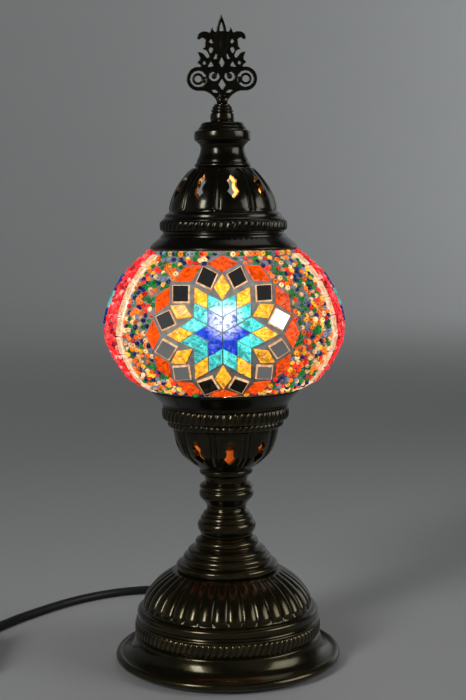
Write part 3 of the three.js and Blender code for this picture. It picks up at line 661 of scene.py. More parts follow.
def window_prisms(outline, first_azimuth, near, far):
    points, faces = [], []
    count = len(outline)
    for i in range(WINDOWS):
        angle = math.radians(first_azimuth + GORE * i)
        out = Vector((math.sin(angle), -math.cos(angle), 0))
        right = Vector((math.cos(angle), math.sin(angle), 0))
        start = len(points)
        for radius in (near, far):
            points += [tuple(out * radius + right * x + Vector((0, 0, z))) for x, z in outline]
        faces.append(tuple(start + j for j in range(count)))
        faces.append(tuple(start + count + j for j in reversed(range(count))))
        for j in range(count):
            k = (j + 1) % count
            faces.append((start + k, start + j, start + count + j, start + count + k))
    return points, faces


def gore_azimuths(first_rib):
    near_rib = [0.4, 0.9, 1.4, 1.9, 2.4, 3, 3.7, 4.6, 6]
    steps = [0, *near_rib, 9, 12, 16, 20, 24, 28, 31, *[GORE - a for a in reversed(near_rib)]]
    return [first_rib + GORE * i + step for i in range(WINDOWS) for step in steps]


def line_inside(piece, first_face):
    """Gives the wall inside a pierced dome its own bare brass finish, whose orange also paints the bulb's
    warm light on it.
    """
    piece.data.materials.append(BRASS_AND_PAINTED_WARM_LIGHT)
    polygons = piece.data.polygons
    polygons.foreach_set("material_index", [int(i >= first_face) for i in range(len(polygons))])


def gored(first_rib, low, high):
    """Nine slightly swollen gores, each boundary a thin raised rib between two fine grooves."""
    def shape(radius, z, azimuth):
        fade = smoothstep(z, low, low + 1.6) * (1 - smoothstep(z, high - 1.6, high))
        across = ((azimuth - first_rib) % GORE) / GORE
        distance = radius * math.radians(GORE * min(across, 1 - across))
        rib = 0.75 * math.exp(-((distance / 0.62) ** 2)) - 0.4 * math.exp(-(((distance - 1.5) / 0.55) ** 2))
        swell = 0.9 * math.sin(math.pi * across) - 0.6
        return radius + fade * (rib + swell * radius / 28)

    return shape


def add_cup():
    outside = filleted([
        (10.9, 96.9), (11.3, 98.4, 1), (12.3, 100.6, 1), (13.9, 101.2, 0.4), (14.2, 102.4, 0.5),
        (13.9, 103.5, 0.4), (14.2, 104.1, 0.4), (16.4, 105.6, 0.5), (18.2, 107, 0.8),
    ])
    bowl = [(18.6, 107.4), (23.6, 112.3), (26.3, 118.2), (27.5, 123.4), (27.8, 125.8)]
    outside += [tuple(p) for p in catmull_rom(bowl, 8)]
    outside += filleted([
        (28, 126.2), (28.9, 126.5, 0.3), (29.6, 127, 0.3), (29.6, 130, 0.3), (31.4, 130.4, 0.3),
        (31.8, 131, 0.3), (31.8, 137, 0.3), (33.4, 137.8, 0.4), (33.2, 138.9, 0.4), (34.4, 140.4, 1),
        (38.2, 144.4, 1), (39.6, 146, 0.4), (39.6, 147, 0.3), (38.6, 147.1, 0.2),
    ])
    inside = [
        (38, 146.6), (31.2, 139.6), (30.2, 131.4), (26, 127.2), (24.2, 118), (14, 106.6), (5.4, 106.6),
        (5.4, 96.9),
    ]
    rib = CUP_WINDOW_AZIMUTH + GORE / 2
    cup = new_piece(
        "pierced_cup",
        *lathe(outside + inside, gore_azimuths(rib), gored(rib, 106.6, 126.4), len(outside)),
        BRONZE, "bronze", replaces=["lower_cup"],
    )
    line_inside(cup, len(outside) * len(gore_azimuths(rib)))
    cut_away(cup, *window_prisms(ogee_outline(108.6, 121.4, 6), CUP_WINDOW_AZIMUTH, 14, 34))
    rope_ring("cup_rope", 31.7, 130.6, 137.3, 1.9, 58)
    rope_ring("cup_rope_lower", 29.4, 126.9, 130.4, 1.3, 58)


def add_cap():
    outside = filleted([
        (34.4, 219.5), (37.9, 219.5, 0.3), (38.8, 220.3, 0.5), (37.6, 222, 1.5), (34.6, 224.6, 1.5),
        (32.9, 226, 0.5), (32.8, 226.9, 0.4), (31.8, 227.5, 0.3), (31.6, 228.2, 0.3), (32, 228.8, 0.3),
        (31.6, 229.2, 0.3), (31.6, 234, 0.3), (32.2, 234.6, 0.3), (31.6, 235.4, 0.3), (30.6, 236, 0.5),
        (30.4, 237.6, 0.6), (28.9, 238.4, 0.4), (28.2, 238.9, 0.3),
    ])
    dome = [
        (28.1, 239.2), (27.9, 241.6), (26.8, 245.6), (24.4, 250.8), (21, 255.8), (17.4, 260), (16.2, 261.2),
    ]
    outside += [tuple(p) for p in catmull_rom(dome, 7)]
    inside = [
        (2.7, 261.2), (2.7, 259), (14.8, 259), (22, 250.2), (25.2, 242), (26, 238), (30, 231.6),
        (30.2, 226.6),
    ]
    rib = CAP_WINDOW_AZIMUTH + GORE / 2
    cap = new_piece(
        "pierced_cap",
        *lathe(outside + inside, gore_azimuths(rib), gored(rib, 239, 261), len(outside)),
        BRONZE, "bronze", body="lift_cap", replaces=["top_cap"],
    )
    line_inside(cap, len(outside) * len(gore_azimuths(rib)))
    cut_away(cap, *window_prisms(ogee_outline(245.2, 258, 6.2), CAP_WINDOW_AZIMUTH, 12, 36))
    rope_ring("cap_rope", 31.4, 229, 234.4, 1.9, 58, body="lift_cap")
    turned("neck", [
        (2.7, 261.5), (14, 261.5, 0.8), (14.7, 262.2, 0.7), (14.6, 263.2, 0.5), (13.8, 263.9, 0.3),
        (13.4, 265.4, 1), (12, 268.4, 1.5), (11.4, 271.4, 1.5), (11.9, 273.4, 0.8), (12.9, 274.2, 0.3),
        (13.4, 274.9, 0.3), (14.6, 275.4, 0.7), (14.8, 277.8, 1.2), (14.5, 280, 0.7), (13.4, 280.6, 0.3),
        (12.8, 281, 0.3), (12.3, 282, 0.4), (11.6, 282.6, 0.3), (11.2, 283.7, 0.4), (10.3, 284.6, 0.4),
        (2.7, 284.6),
    ], BRONZE, "bronze", body="lift_cap", replaces=["cap_neck"])
    turned("spindle", [
        (2.7, 284.9), (6.1, 284.9, 0.4), (6.35, 287, 0.8), (6, 289.2, 0.4), (5.3, 289.6, 0.2),
        (5.3, 289.9, 0.2), (5.9, 290.3, 0.4), (5.5, 291.2, 0.3), (5, 291.4, 0.2), (5.3, 292, 0.4),
        (4.9, 292.8, 0.3), (4.3, 293.1, 0.2), (4.2, 293.9, 0.3), (2.7, 293.9),
    ], BRONZE, "bronze", count=64, fillet=0.3, body="lift_cap", replaces=["finial_spindle"])


# ---------------------------------------------------------------- finial
FINIAL_T = 3.0
LOOP_X = 12.1
LOOP_Z = 306.9
BALL_X = 4.0
BALL_Z = 308.2


def arc(x, z, radius, start, end, steps):
    angles = [math.radians(start + (end - start) * i / steps) for i in range(steps + 1)]
    return [(x + radius * math.cos(a), z + radius * math.sin(a)) for a in angles]


def finial_outline():
    """The right half, from the foot up to the tip, as smooth runs that meet at corners."""
    runs = [
        [(3.0, 294.2), (2.7, 295.2), (3.4, 296.6), (5.6, 299), (8.6, 300.6), (11, 300.9)],
        arc(LOOP_X, LOOP_Z, 6.1, -80, 100, 10),
        [(10.9, 312.8), (11, 314), (12.8, 315.2)],
        [(12.8, 315.2), (11.6, 316.4), (11.4, 318.2), (12.4, 320.4)],
        [(12.4, 320.4), (10.6, 320.3), (9.2, 319.4), (7.4, 317.2)],
        [(7.4, 317.2), (6.6, 318.4), (7, 319.9), (8, 321.3), (9.9, 322.1)],
        [(9.9, 322.1), (8.8, 323), (8.6, 324.8), (8.3, 326.8)],
        [(8.3, 326.8), (9.9, 327.8), (11.2, 326.9), (12.6, 327.2)],
        [(12.6, 327.2), (12.1, 329.2), (10.2, 330.6), (7.8, 330.8), (6.1, 330.1)],
        [(6.1, 330.1), (5.6, 331.4), (4.6, 333)],
        [(4.6, 333), (4, 331.2), (3.1, 330.4)],
        [(3.1, 330.4), (2.5, 331.4), (2.4, 333), (1.4, 336), (0, 339.4)],
    ]
    line = []
    for run in runs:
        line += [tuple(p) for p in catmull_rom(run, 3)][:-1]
    mirrored = [(-x, z) for x, z in reversed(line)]
    return line + [(0, 339.4)] + mirrored


def finial_holes():
    centre = [
        [(0, 301.2), (1.75, 304), (0, 306.9), (-1.75, 304)],
        [(0, 312.4), (1.2, 315.2), (0, 318), (-1.2, 315.2)],
        [(1, 330.9), (0.6, 333.6), (0, 336), (-0.6, 333.6), (-1, 330.9)],
    ]
    right = [
        [(4.5, 325.2), (5.4, 327.3), (6.4, 325.6), (5.3, 324.6)],
        [(4.5, 322.4), (5.8, 323), (6.5, 321.8), (5.8, 319.5), (5, 320.6)],
        [(2.6, 320.3), (2.7, 317), (4.3, 316.7)],
        [(4.3, 313.2), (5.5, 315.8), (7.3, 312.8)],
        [(8.2, 314.4), (8.7, 316), (9.7, 315.4), (9.4, 313.9)],
        [(1.8, 299.9), (3.4, 301.3), (5.6, 301.2), (4, 299.8)],
        arc(LOOP_X, LOOP_Z, 4.2, 0, 330, 11),
        arc(BALL_X, BALL_Z, 2.6, 0, 330, 11),
    ]
    return centre + right + [[(-x, z) for x, z in reversed(hole)] for hole in right]


def add_finial():
    """The openwork casting: a pierced plate with rings, bars and balls, melted into one soft skin."""
    curve = bpy.data.curves.new("finial_plate", "CURVE")
    curve.dimensions = "2D"
    curve.fill_mode = "BOTH"
    curve.extrude = FINIAL_T / 2 * MM
    for outline in [finial_outline(), *finial_holes()]:
        spline = curve.splines.new("POLY")
        spline.points.add(len(outline) - 1)
        for point, (x, z) in zip(spline.points, outline):
            point.co = (x * MM, z * MM, 0, 1)
        spline.use_cyclic_u = True
    plate = bpy.data.objects.new("finial_plate", curve)
    bpy.context.collection.objects.link(plate)
    work = bmesh.new()
    work.from_mesh(plate.to_mesh())
    bpy.data.objects.remove(plate)
    bmesh.ops.rotate(work, verts=work.verts, cent=(0, 0, 0), matrix=Matrix.Rotation(math.pi / 2, 3, "X"))
    solids = []
    for side in (-1, 1):
        ring = [(side * x, 0, z) for x, z in arc(LOOP_X + 0.2, LOOP_Z, 2.4, 0, 360, 24)]
        solids.append(tube_mesh(ring, 0.75, 8))
        bars = [[(6.6, 304.2), (9.4, 307.8)], [(6.6, 309.2), (9.6, 305)], [(7.4, 311.2), (9, 309.4)]]
        for (x0, z0), (x1, z1) in bars:
            solids.append(tube_mesh([(side * x0, 0, z0), (side * x1, 0, z1)], 0.75, 8))
        hook = [(side * x, 0, z) for x, z in arc(BALL_X + 0.6, BALL_Z + 1.2, 1.6, 20, 200, 8)]
        solids.append(tube_mesh(hook, 0.7, 8))
        for face in (-1, 1):
            leaf = [(side * x, face * 0.6, z) for x, z in ((1.2, 318.5), (2.9, 324), (3.6, 329.6))]
            solids.append(tube_mesh(catmull_rom(leaf, 5), 1.05, 10))
    for face in (-1, 1):
        leaf_rib = [(0, face * 0.3, 318.4), (0, face * 0.45, 324), (0, face * 0.3, 330)]
        solids.append(tube_mesh(leaf_rib, 1.3, 10))
    for points, faces in solids:
        verts = [work.verts.new(Vector(p) * MM) for p in points]
        for face in faces:
            work.faces.new([verts[i] for i in face])
    for x, z, size in ((BALL_X, BALL_Z, 1.45), (0.4, 295.9, 2.75), (0, 297.6, 2.2)):
        for side in (-1, 1):
            place = Matrix.Translation(Vector((side * x, 0, z)) * MM)
            bmesh.ops.create_uvsphere(work, u_segments=16, v_segments=10, radius=size * MM, matrix=place)
    mesh = bpy.data.meshes.new("finial_scrolls")
    work.to_mesh(mesh)
    work.free()
    piece = bpy.data.objects.new("finial_scrolls", mesh)
    bpy.context.collection.objects.link(piece)
    remesh = piece.modifiers.new("skin", "REMESH")
    remesh.mode = "VOXEL"
    remesh.voxel_size = 0.22 * MM
    soften = piece.modifiers.new("soften", "SMOOTH")
    soften.iterations = 5
    apply_modifiers(piece)
    finish_piece(piece, BRONZE, "lift_cap", ["finial"], 180)


# ---------------------------------------------------------------- globe surface
GLOBE_LINE = np.array(catmull_rom([
    (40.6, 146.7), (47.9, 150.9), (53.6, 156.4), (58.6, 164.4), (61.8, 171.6), (62.5, 178), (61.2, 186.6),
    (58, 195.6), (53.2, 204.8), (46.8, 212.6), (39.9, 218.2),
], 8))
GLOBE_LOW_Z = GLOBE_LINE[0][1]
GLOBE_HIGH_Z = GLOBE_LINE[-1][1]


def globe_radius(z):
    return float(np.interp(z, GLOBE_LINE[:, 1], GLOBE_LINE[:, 0]))


def globe_point(azimuth, z, out=0.0):
    """A point on the mosaic's outer surface, moved out along the surface's normal, and that normal."""
    slope = (globe_radius(z + 0.4) - globe_radius(z - 0.4)) / 0.8
    scale = math.hypot(1, slope)
    normal = Vector(polar(azimuth, 1 / scale, -slope / scale))
    return Vector(polar(azimuth, globe_radius(z), z)) + normal * out, normal


STRETCH = 1.04  # of a medallion's rim from side to side
DROP = 1.4  # of a medallion's rim, where it is level with its middle


def star_place(side):
    """Where a point of a medallion's flat drawing falls on the globe, straight on from its front."""
    def place(u, v):
        ring = smoothstep(math.hypot(u, v), 15, 24)
        z = STAR_Z + v - DROP * ring * (1 - (v / 32) ** 2)
        z = min(max(z, GLOBE_LOW_Z + 0.4), GLOBE_HIGH_Z - 0.3)
        u *= STRETCH + 0.02 * (1 - ring)
        return STAR_AZIMUTHS[side] + math.degrees(math.asin(u / globe_radius(z))), z

    return place


def offset_line(inwards):
    """The mosaic's outer line, moved towards the inside of the globe."""
    padded = [GLOBE_LINE[0], *GLOBE_LINE, GLOBE_LINE[-1]]
    line = []
    for before, point, after in zip(padded, GLOBE_LINE, padded[2:]):
        along = (after - before) / np.linalg.norm(after - before)
        line.append((point[0] - along[1] * inwards, point[1] + along[0] * inwards))
    return line


class Tiles:
    """Cut glass tiles without backs, gathered into one mesh with a tint at each corner."""

    def __init__(self, seed):
        self.points, self.faces, self.tints, self.slots = [], [], [], []
        self.random = random.Random(seed)

    def add(self, outline, place, tint, joint=0.3, bevel=0.35, lift=0.0, wobble=0.1):
        """One tile: outline in its drawing, place maps the drawing to an azimuth and a height."""
        rng = self.random
        outline = [(u + rng.uniform(-wobble, wobble), v + rng.uniform(-wobble, wobble)) for u, v in outline]
        middle = np.mean(outline, axis=0)
        centre, normal = globe_point(*place(*middle))
        edge = inset(outline, joint)
        corners = [globe_point(*place(*p))[0] for p in edge]
        sink = sum((p - centre).dot(normal) for p in corners) / len(corners) * 0.6
        lift += rng.uniform(-0.1, 0.12)
        lean = Vector((rng.uniform(-1, 1), rng.uniform(-1, 1), rng.uniform(-1, 1))) * 0.022
        tilted = (normal + lean).normalized()

        def flat(points, height):
            return [p + tilted * (sink + lift + height - (p - centre).dot(tilted)) for p in points]

        top = flat([globe_point(*place(*p))[0] for p in inset(outline, joint + bevel)], 0)
        rings = [flat(corners, -2.1), flat(corners, -bevel), top]
        count, start = len(outline), len(self.points)
        for ring in rings:
            self.points += [tuple(p) for p in ring]
        for level in (0, 1):
            for j in range(count):
                k = (j + 1) % count
                a, b = start + level * count, start + (level + 1) * count
                self.faces.append((a + j, a + k, b + k, b + j))
                self.slots.append(level)
        self.faces.append(tuple(start + 2 * count + j for j in range(count)))
        self.slots.append(2)
        shade = rng.uniform(0.8, 1.15)
        self.tints += [[c * shade for c in tint]] * (3 * count)

    def piece(self, name, materials, slot, replaces=()):
        made = new_piece(
            name, self.points, self.faces, materials, slot, replaces=replaces, crease=20, weld=False,
        )
        paint(made, self.tints)
        if len(materials) > 1:
            made.data.polygons.foreach_set("material_index", self.slots)
        face_outwards(made.data)
        return made


def paint(piece, tints):
    layer = piece.data.color_attributes.new("tint", "FLOAT_COLOR", "POINT")
    layer.data.foreach_set("color", np.array([(*t[:3], 1) for t in tints], np.float32).ravel())


def inset(outline, distance):
    """A convex outline with each edge moved inwards."""
    area = sum(a[0] * b[1] - b[0] * a[1] for a, b in zip(outline, outline[1:] + outline[:1]))
    sign = 1 if area > 0 else -1
    lines = []
    for a, b in zip(outline, outline[1:] + outline[:1]):
        along = Vector(b) - Vector(a)
        normal = Vector((-along.y, along.x)).normalized() * sign
        lines.append((Vector(a) + normal * distance, along.normalized()))
    corners = []
    for (p, d), (q, e) in zip([lines[-1], *lines[:-1]], lines):
        cross = d.x * e.y - d.y * e.x
        t = ((q.x - p.x) * e.y - (q.y - p.y) * e.x) / cross
        corners.append(tuple(p + d * t))
    return corners


# ---------------------------------------------------------------- medallions
SIDE = 7.65  # side of a rhombus
COBALT = (0.01, 0.04, 0.46)
TEAL = (0.045, 0.44, 0.42)
AMBER = (1.0, 0.4, 0.02)
ORANGE = (1.0, 0.085, 0.004)
CREAM = (1.0, 0.66, 0.36)
NAVY = (0.008, 0.02, 0.13)


def ray(angle, length):
    return Vector((math.cos(math.radians(angle)), math.sin(math.radians(angle)))) * length


def star_outlines():
    """The tiles of one medallion by colour, in its flat drawing, from the middle outwards."""
    s = SIDE
    tip = math.sqrt(3) * s
    found = {"cobalt": [], "teal": [], "amber": [], "mirror": [], "orange": []}
    for k in range(6):
        spoke, notch = 60 + 60 * k, 90 + 60 * k
        middle = Vector((0, 0))
        found["cobalt"].append([middle, ray(spoke - 30, s), ray(spoke, tip), ray(spoke + 30, s)])
        for side in (-1, 1):
            near = ray(notch, s)
            far = ray(notch - side * 30, tip)
            found["teal"].append([near, far, far + ray(notch, s), near + ray(notch, s)])
        point = ray(spoke, tip)
        beyond = ray(spoke, 2 * tip)
        found["amber"].append([point, point + ray(spoke - 30, s), beyond, point + ray(spoke + 30, s)])
        inner, outer = ray(notch, 2.04 * s), ray(notch, 3.75 * s)
        half = ray(notch + 90, 0.54 * s)
        belly = ray(notch, 2.95 * s)
        found["amber"].append([inner, belly - half, outer, belly + half])
    for k in range(12):
        middle = ray(15 + 30 * k, 3.58 * s)
        found["mirror"].append([middle + ray(15 + 30 * k + 90 * i, 0.76 * s) for i in range(4)])
        centre = ray(30 * k, 4.3 * s)
        across, along = ray(30 * k + 90, 1.0 * s), ray(30 * k, 0.5 * s)
        found["orange"].append([centre - along, centre + across, centre + along, centre - across])
    return {key: [[tuple(p) for p in tile] for tile in tiles] for key, tiles in found.items()}


def inside_outline(outline, u, v):
    found = False
    for (x0, y0), (x1, y1) in zip(outline, outline[1:] + outline[:1]):
        if (y0 > v) != (y1 > v) and u < (x1 - x0) * (v - y0) / (y1 - y0) + x0:
            found = not found
    return found


def near_outline(outline, u, v, margin):
    if inside_outline(outline, u, v):
        return True
    for a, b in zip(outline, outline[1:] + outline[:1]):
        along = Vector(b) - Vector(a)
        share = min(max((Vector((u, v)) - Vector(a)).dot(along) / along.length_squared, 0), 1)
        if (Vector(a) + along * share - Vector((u, v))).length < margin:
            return True
    return False


GROUT_R = 36.3  # of the round grout bed under a medallion
RING_STEPS = 72
GROUT_DEPTH = 0.75  # from the tiles' faces down to the grout between them


def turn_outline(outline, degrees, size):
    middle = Vector(np.mean(outline, axis=0))
    return [tuple(middle + ray(math.degrees(math.atan2(d.y, d.x)) + degrees, d.length * size))
            for d in (Vector(p) - middle for p in outline)]


def add_grout_disc(side, outlines):
    """The bed of a medallion, with a pocket right through it under each tile."""
    place = star_place(side)
    corners, edges = [], []
    rim = [tuple(ray(angle, GROUT_R)) for angle in even_azimuths(RING_STEPS)]
    pockets = [inset(tile, 0.45) for tiles in outlines.values() for tile in tiles]
    for loop in [rim, *pockets]:
        start = len(corners)
        corners += [Vector(p) for p in loop]
        edges += [(start + i, start + (i + 1) % len(loop)) for i in range(len(loop))]
    made = geometry.delaunay_2d_cdt(corners, edges, [], 1, 1e-5)
    flat, triangles = made[0], made[2]
    kept = []
    for triangle in triangles:
        middle = sum((flat[i] for i in triangle), Vector((0, 0))) / 3
        if not any(inside_outline(pocket, middle.x, middle.y) for pocket in pockets):
            kept.append(tuple(triangle))
    count = len(flat)
    points = [tuple(globe_point(*place(p.x, p.y), -GROUT_DEPTH)[0]) for p in flat]
    points += [tuple(globe_point(*place(p.x, p.y), -2.2)[0]) for p in flat]
    faces = kept + [tuple(i + count for i in reversed(face)) for face in kept]
    sides = [side for face in kept for side in zip(face, face[1:] + face[:1])]
    shared = {(b, a) for a, b in sides}
    faces += [(b, a, a + count, b + count) for a, b in sides if (a, b) not in shared]
    new_piece(f"{side}_star_grout", points, faces, GROUT, "border_tiles", crease=30)


def add_medallion(side, outlines):
    place = star_place(side)
    glass = {"cobalt": COBALT, "teal": TEAL, "amber": AMBER}
    for seed, (key, tint) in enumerate(glass.items()):
        tiles = Tiles(seed + len(side))
        for outline in outlines[key]:
            tiles.add(outline, place, tint)
        replaces = [f"{side}_star_core"] if key == "cobalt" else ()
        tiles.piece(f"{side}_{key}_tiles", [ART_GLASS], "star_tiles", replaces)
    rims = Tiles(21)
    for outline in outlines["orange"]:
        rims.add(outline, place, ORANGE, lift=-0.1)
    rims.piece(f"{side}_orange_tiles", [OPAL_GLASS], "border_tiles", [f"{side}_star_border"])
    mirrors = Tiles(33)
    for outline in outlines["mirror"]:
        turned_a_little = turn_outline(
            outline, mirrors.random.uniform(-7, 7), mirrors.random.uniform(0.93, 1.05),
        )
        mirrors.add(turned_a_little, place, CREAM, bevel=0.45, lift=0.35, joint=0.2)
    # The mirror tiles' sides and bevels glow in cream glass: painted light.
    mirrors.piece(f"{side}_mirror_tiles", [CREAM_GLASS, CREAM_GLASS, MIRROR], "border_tiles")
    add_grout_disc(side, outlines)


# ---------------------------------------------------------------- strips, side tiles and beads
def surface_place(u, v):
    """The place of a tile whose outline is already drawn in azimuths and heights."""
    return u, v


def box_outline(azimuth, low, high, width):
    """A tile upright on the globe, as azimuths and heights; width is in millimetres."""
    bottom = math.degrees(width / 2 / globe_radius(low))
    top = math.degrees(width / 2 / globe_radius(high))
    return [(azimuth - bottom, low), (azimuth + bottom, low), (azimuth + top, high), (azimuth - top, high)]


def strip_heights(pieces):
    """Heights that part the globe's outline into lengths that are all the same."""
    steps = np.hypot(*np.diff(GLOBE_LINE, axis=0).T)
    travelled = np.concatenate([[0], np.cumsum(steps)])
    return np.interp(np.linspace(0.8, travelled[-1] - 0.6, pieces + 1), travelled, GLOBE_LINE[:, 1])


def add_strips():
    heights = strip_heights(9)
    for side, turn in (("front", 0), ("rear", 180)):
        for name, azimuth in (("left", STRIP_LEFT + turn), ("right", STRIP_RIGHT + turn)):
            tiles = Tiles(int(azimuth) + 200)
            for low, high in zip(heights, heights[1:]):
                centre = azimuth + tiles.random.uniform(-0.35, 0.35)
                width = 5 + 1.4 * smoothstep(low, 165, 180) + tiles.random.uniform(-0.5, 0.4)
                outline = box_outline(centre, low + 0.3, high - 0.3, width)
                tiles.add(outline, surface_place, CREAM, joint=0.02, bevel=0.5, wobble=0.22, lift=0.25)
            # The bevels of the strip tiles glow whiter and brighter than their faces: a painted highlight.
            finish = [CREAM_GLASS, PAINTED_BEVEL_HIGHLIGHT, CREAM_GLASS]
            tiles.piece(f"{side}_{name}_strip_tiles", finish, "cream_tiles", [f"{side}_{name}_strip"])


def add_side_tiles():
    for name, azimuth in (("left", -88), ("right", 92)):
        tiles = Tiles(int(azimuth) + 400)
        for low, tint in ((181.4, NAVY), (190, TEAL), (198.6, NAVY)):
            tiles.add(
                box_outline(azimuth, low, low + 8, 7), surface_place, tint, joint=0.02, wobble=0.06,
                lift=1.2,
            )
        tiles.piece(f"{name}_column_tiles", [ART_GLASS], "star_tiles", [f"{name}_side_tiles"])


BEAD_R = 1.32
BEAD_SPACING = 2.24
RIM_BEADS = 110  # in the topmost row, close under the cap
THROWS = 70000  # tries at finding room for one more bead
MIXED = [
    ((0.008, 0.17, 0.025), 21), ((0.005, 0.014, 0.09), 18), ((1.0, 0.17, 0.012), 18), ((1.0, 0.6, 0.27), 18),
    ((0.9, 0.03, 0.015), 11), ((0.16, 0.2, 0.26), 10), ((1.0, 0.46, 0.03), 8),
]
REDS = [
    ((1.0, 0.02, 0.025), 46), ((0.8, 0.01, 0.012), 22), ((1.0, 0.09, 0.09), 22), ((1.0, 0.35, 0.3), 6),
    ((0.3, 0.004, 0.006), 6),
]


def bead_mould():
    """A short glass tube bead with rounded lips and a hole, of outer radius 1, with painted light and shade
    at each point: lighter on the lips, darker in the hole.
    """
    around, across = 12, 8
    points, faces, painted_light_and_shade = [], [], []
    for i in range(around):
        turn = 2 * math.pi * i / around
        for j in range(across):
            lip = 2 * math.pi * j / across
            radius = 0.62 + 0.38 * math.cos(lip)
            points.append((radius * math.cos(turn), radius * math.sin(turn), 0.56 * math.sin(lip)))
            # Painted light and shade: lighter on the lips, darker towards the hole.
            painted_light_and_shade.append(0.78 + 0.5 * abs(math.sin(lip)) - 0.62 * max(0, -math.cos(lip)))
            a, b = i * across + j, i * across + (j + 1) % across
            shift = ((i + 1) % around - i) * across
            faces.append((a, a + shift, b + shift, b))
    return np.array(points), np.array(faces), painted_light_and_shade


def scatter_beads(rng, spacing, allowed):
    """Places on the globe that keep a distance from each other, thrown one by one."""
    steps = np.hypot(*np.diff(GLOBE_LINE, axis=0).T)
    weights = steps * (GLOBE_LINE[1:, 0] + GLOBE_LINE[:-1, 0])
    chosen, cells = [], {}
    throws = [(azimuth - 180, GLOBE_HIGH_Z - 0.1) for azimuth in even_azimuths(RIM_BEADS)]
    for band in rng.choices(range(len(steps)), weights, k=THROWS):
        share = rng.random()
        z = GLOBE_LINE[band][1] * (1 - share) + GLOBE_LINE[band + 1][1] * share
        throws.append((rng.uniform(-180, 180), z))
    for azimuth, z in throws:
        if not allowed(azimuth, z):
            continue
        point, normal = globe_point(azimuth, z)
        if z > GLOBE_HIGH_Z - 0.2:
            normal = direction(azimuth, 0)
        key = tuple(int(c // spacing) for c in point)
        around = [
            p for dx in (-1, 0, 1) for dy in (-1, 0, 1) for dz in (-1, 0, 1)
            for p in cells.get((key[0] + dx, key[1] + dy, key[2] + dz), ())
        ]
        if all((p - point).length_squared > spacing**2 for p in around):
            cells.setdefault(key, []).append(point)
            chosen.append((azimuth, point, normal))
    return chosen


def bead_piece(name, places, colours, slot, replaces, seed):
    rng = random.Random(seed)
    mould, mould_faces, painted_light_and_shade = bead_mould()
    points, faces, tints = [], [], []
    for i, (_, point, normal) in enumerate(places):
        turned_over = rng.random() < 0.35
        axis = normal.copy()
        if turned_over:
            axis = normal.orthogonal()
            axis.rotate(Matrix.Rotation(rng.uniform(0, math.tau), 3, normal))
        axis = (axis + Vector([rng.uniform(-0.3, 0.3) for _ in range(3)])).normalized()
        rotation = np.array(axis.to_track_quat("Z", "Y").to_matrix())
        size = BEAD_R * rng.uniform(0.84, 1.1)
        centre = np.array(point + normal * (rng.uniform(-0.85, -0.55) - (0.35 if turned_over else 0)))
        stretch = np.array([1, 1, rng.uniform(0.9, 1.5)])
        points.append((mould * stretch * size) @ rotation.T + centre)
        faces.append(mould_faces + i * len(mould))
        tint = rng.choices([c for c, _ in colours], [w for _, w in colours])[0]
        shade = rng.uniform(0.5, 1.25)
        # Each point's tint is darkened or lightened by the mould's painted light and shade.
        tints += [[c * shade * painted_share for c in tint] for painted_share in painted_light_and_shade]
    piece = new_piece(
        name, np.concatenate(points), np.concatenate(faces).tolist(), BEAD_GLASS, slot,
        replaces=replaces, crease=180, weld=False,
    )
    paint(piece, tints)


def wrap(azimuth):
    return (azimuth + 180) % 360 - 180


def add_beads(outlines):
    tiles = [tile for group in outlines.values() for tile in group]
    strips = [STRIP_LEFT, STRIP_RIGHT, wrap(STRIP_LEFT + 180), wrap(STRIP_RIGHT + 180)]

    def allowed(azimuth, z):
        if z < GLOBE_LOW_Z + 0.9 or z > GLOBE_HIGH_Z - 0.05:
            return False
        radius = globe_radius(z)
        if any(abs(wrap(azimuth - strip)) * math.radians(radius) < 4 for strip in strips):
            return False
        for column in (-88, 92):
            if abs(wrap(azimuth - column)) * math.radians(radius) < 4.6 and 180.4 < z < 207.8:
                return False
        for star in STAR_AZIMUTHS.values():
            turn = math.radians(wrap(azimuth - star))
            u, v = radius * math.sin(turn) / STRETCH, z - STAR_Z
            v += DROP * (1 - (v / 32) ** 2)
            if math.cos(turn) < 0 or math.hypot(u, v) > 38:
                continue
            if math.hypot(u, v) < 30.5 or any(near_outline(tile, u, v, 0.9) for tile in tiles):
                return False
        return True

    zones = {"front": [], "rear": [], "left": [], "right": []}
    for place in scatter_beads(random.Random(11), BEAD_SPACING, allowed):
        azimuth = place[0]
        if STRIP_LEFT < azimuth < STRIP_RIGHT:
            zones["front"].append(place)
        elif STRIP_RIGHT <= azimuth < wrap(STRIP_LEFT + 180):
            zones["right"].append(place)
        elif wrap(STRIP_RIGHT + 180) <= azimuth <= STRIP_LEFT:
            zones["left"].append(place)
        else:
            zones["rear"].append(place)
    for seed, side in enumerate(("front", "rear")):
        bead_piece(f"{side}_beads", zones[side], MIXED, "mixed_beads", [f"{side}_bead_field"], seed)
    for seed, side in enumerate(("left", "right")):
        bead_piece(f"{side}_red_beads", zones[side], REDS, "red_beads", [f"{side}_red_field"], seed + 9)


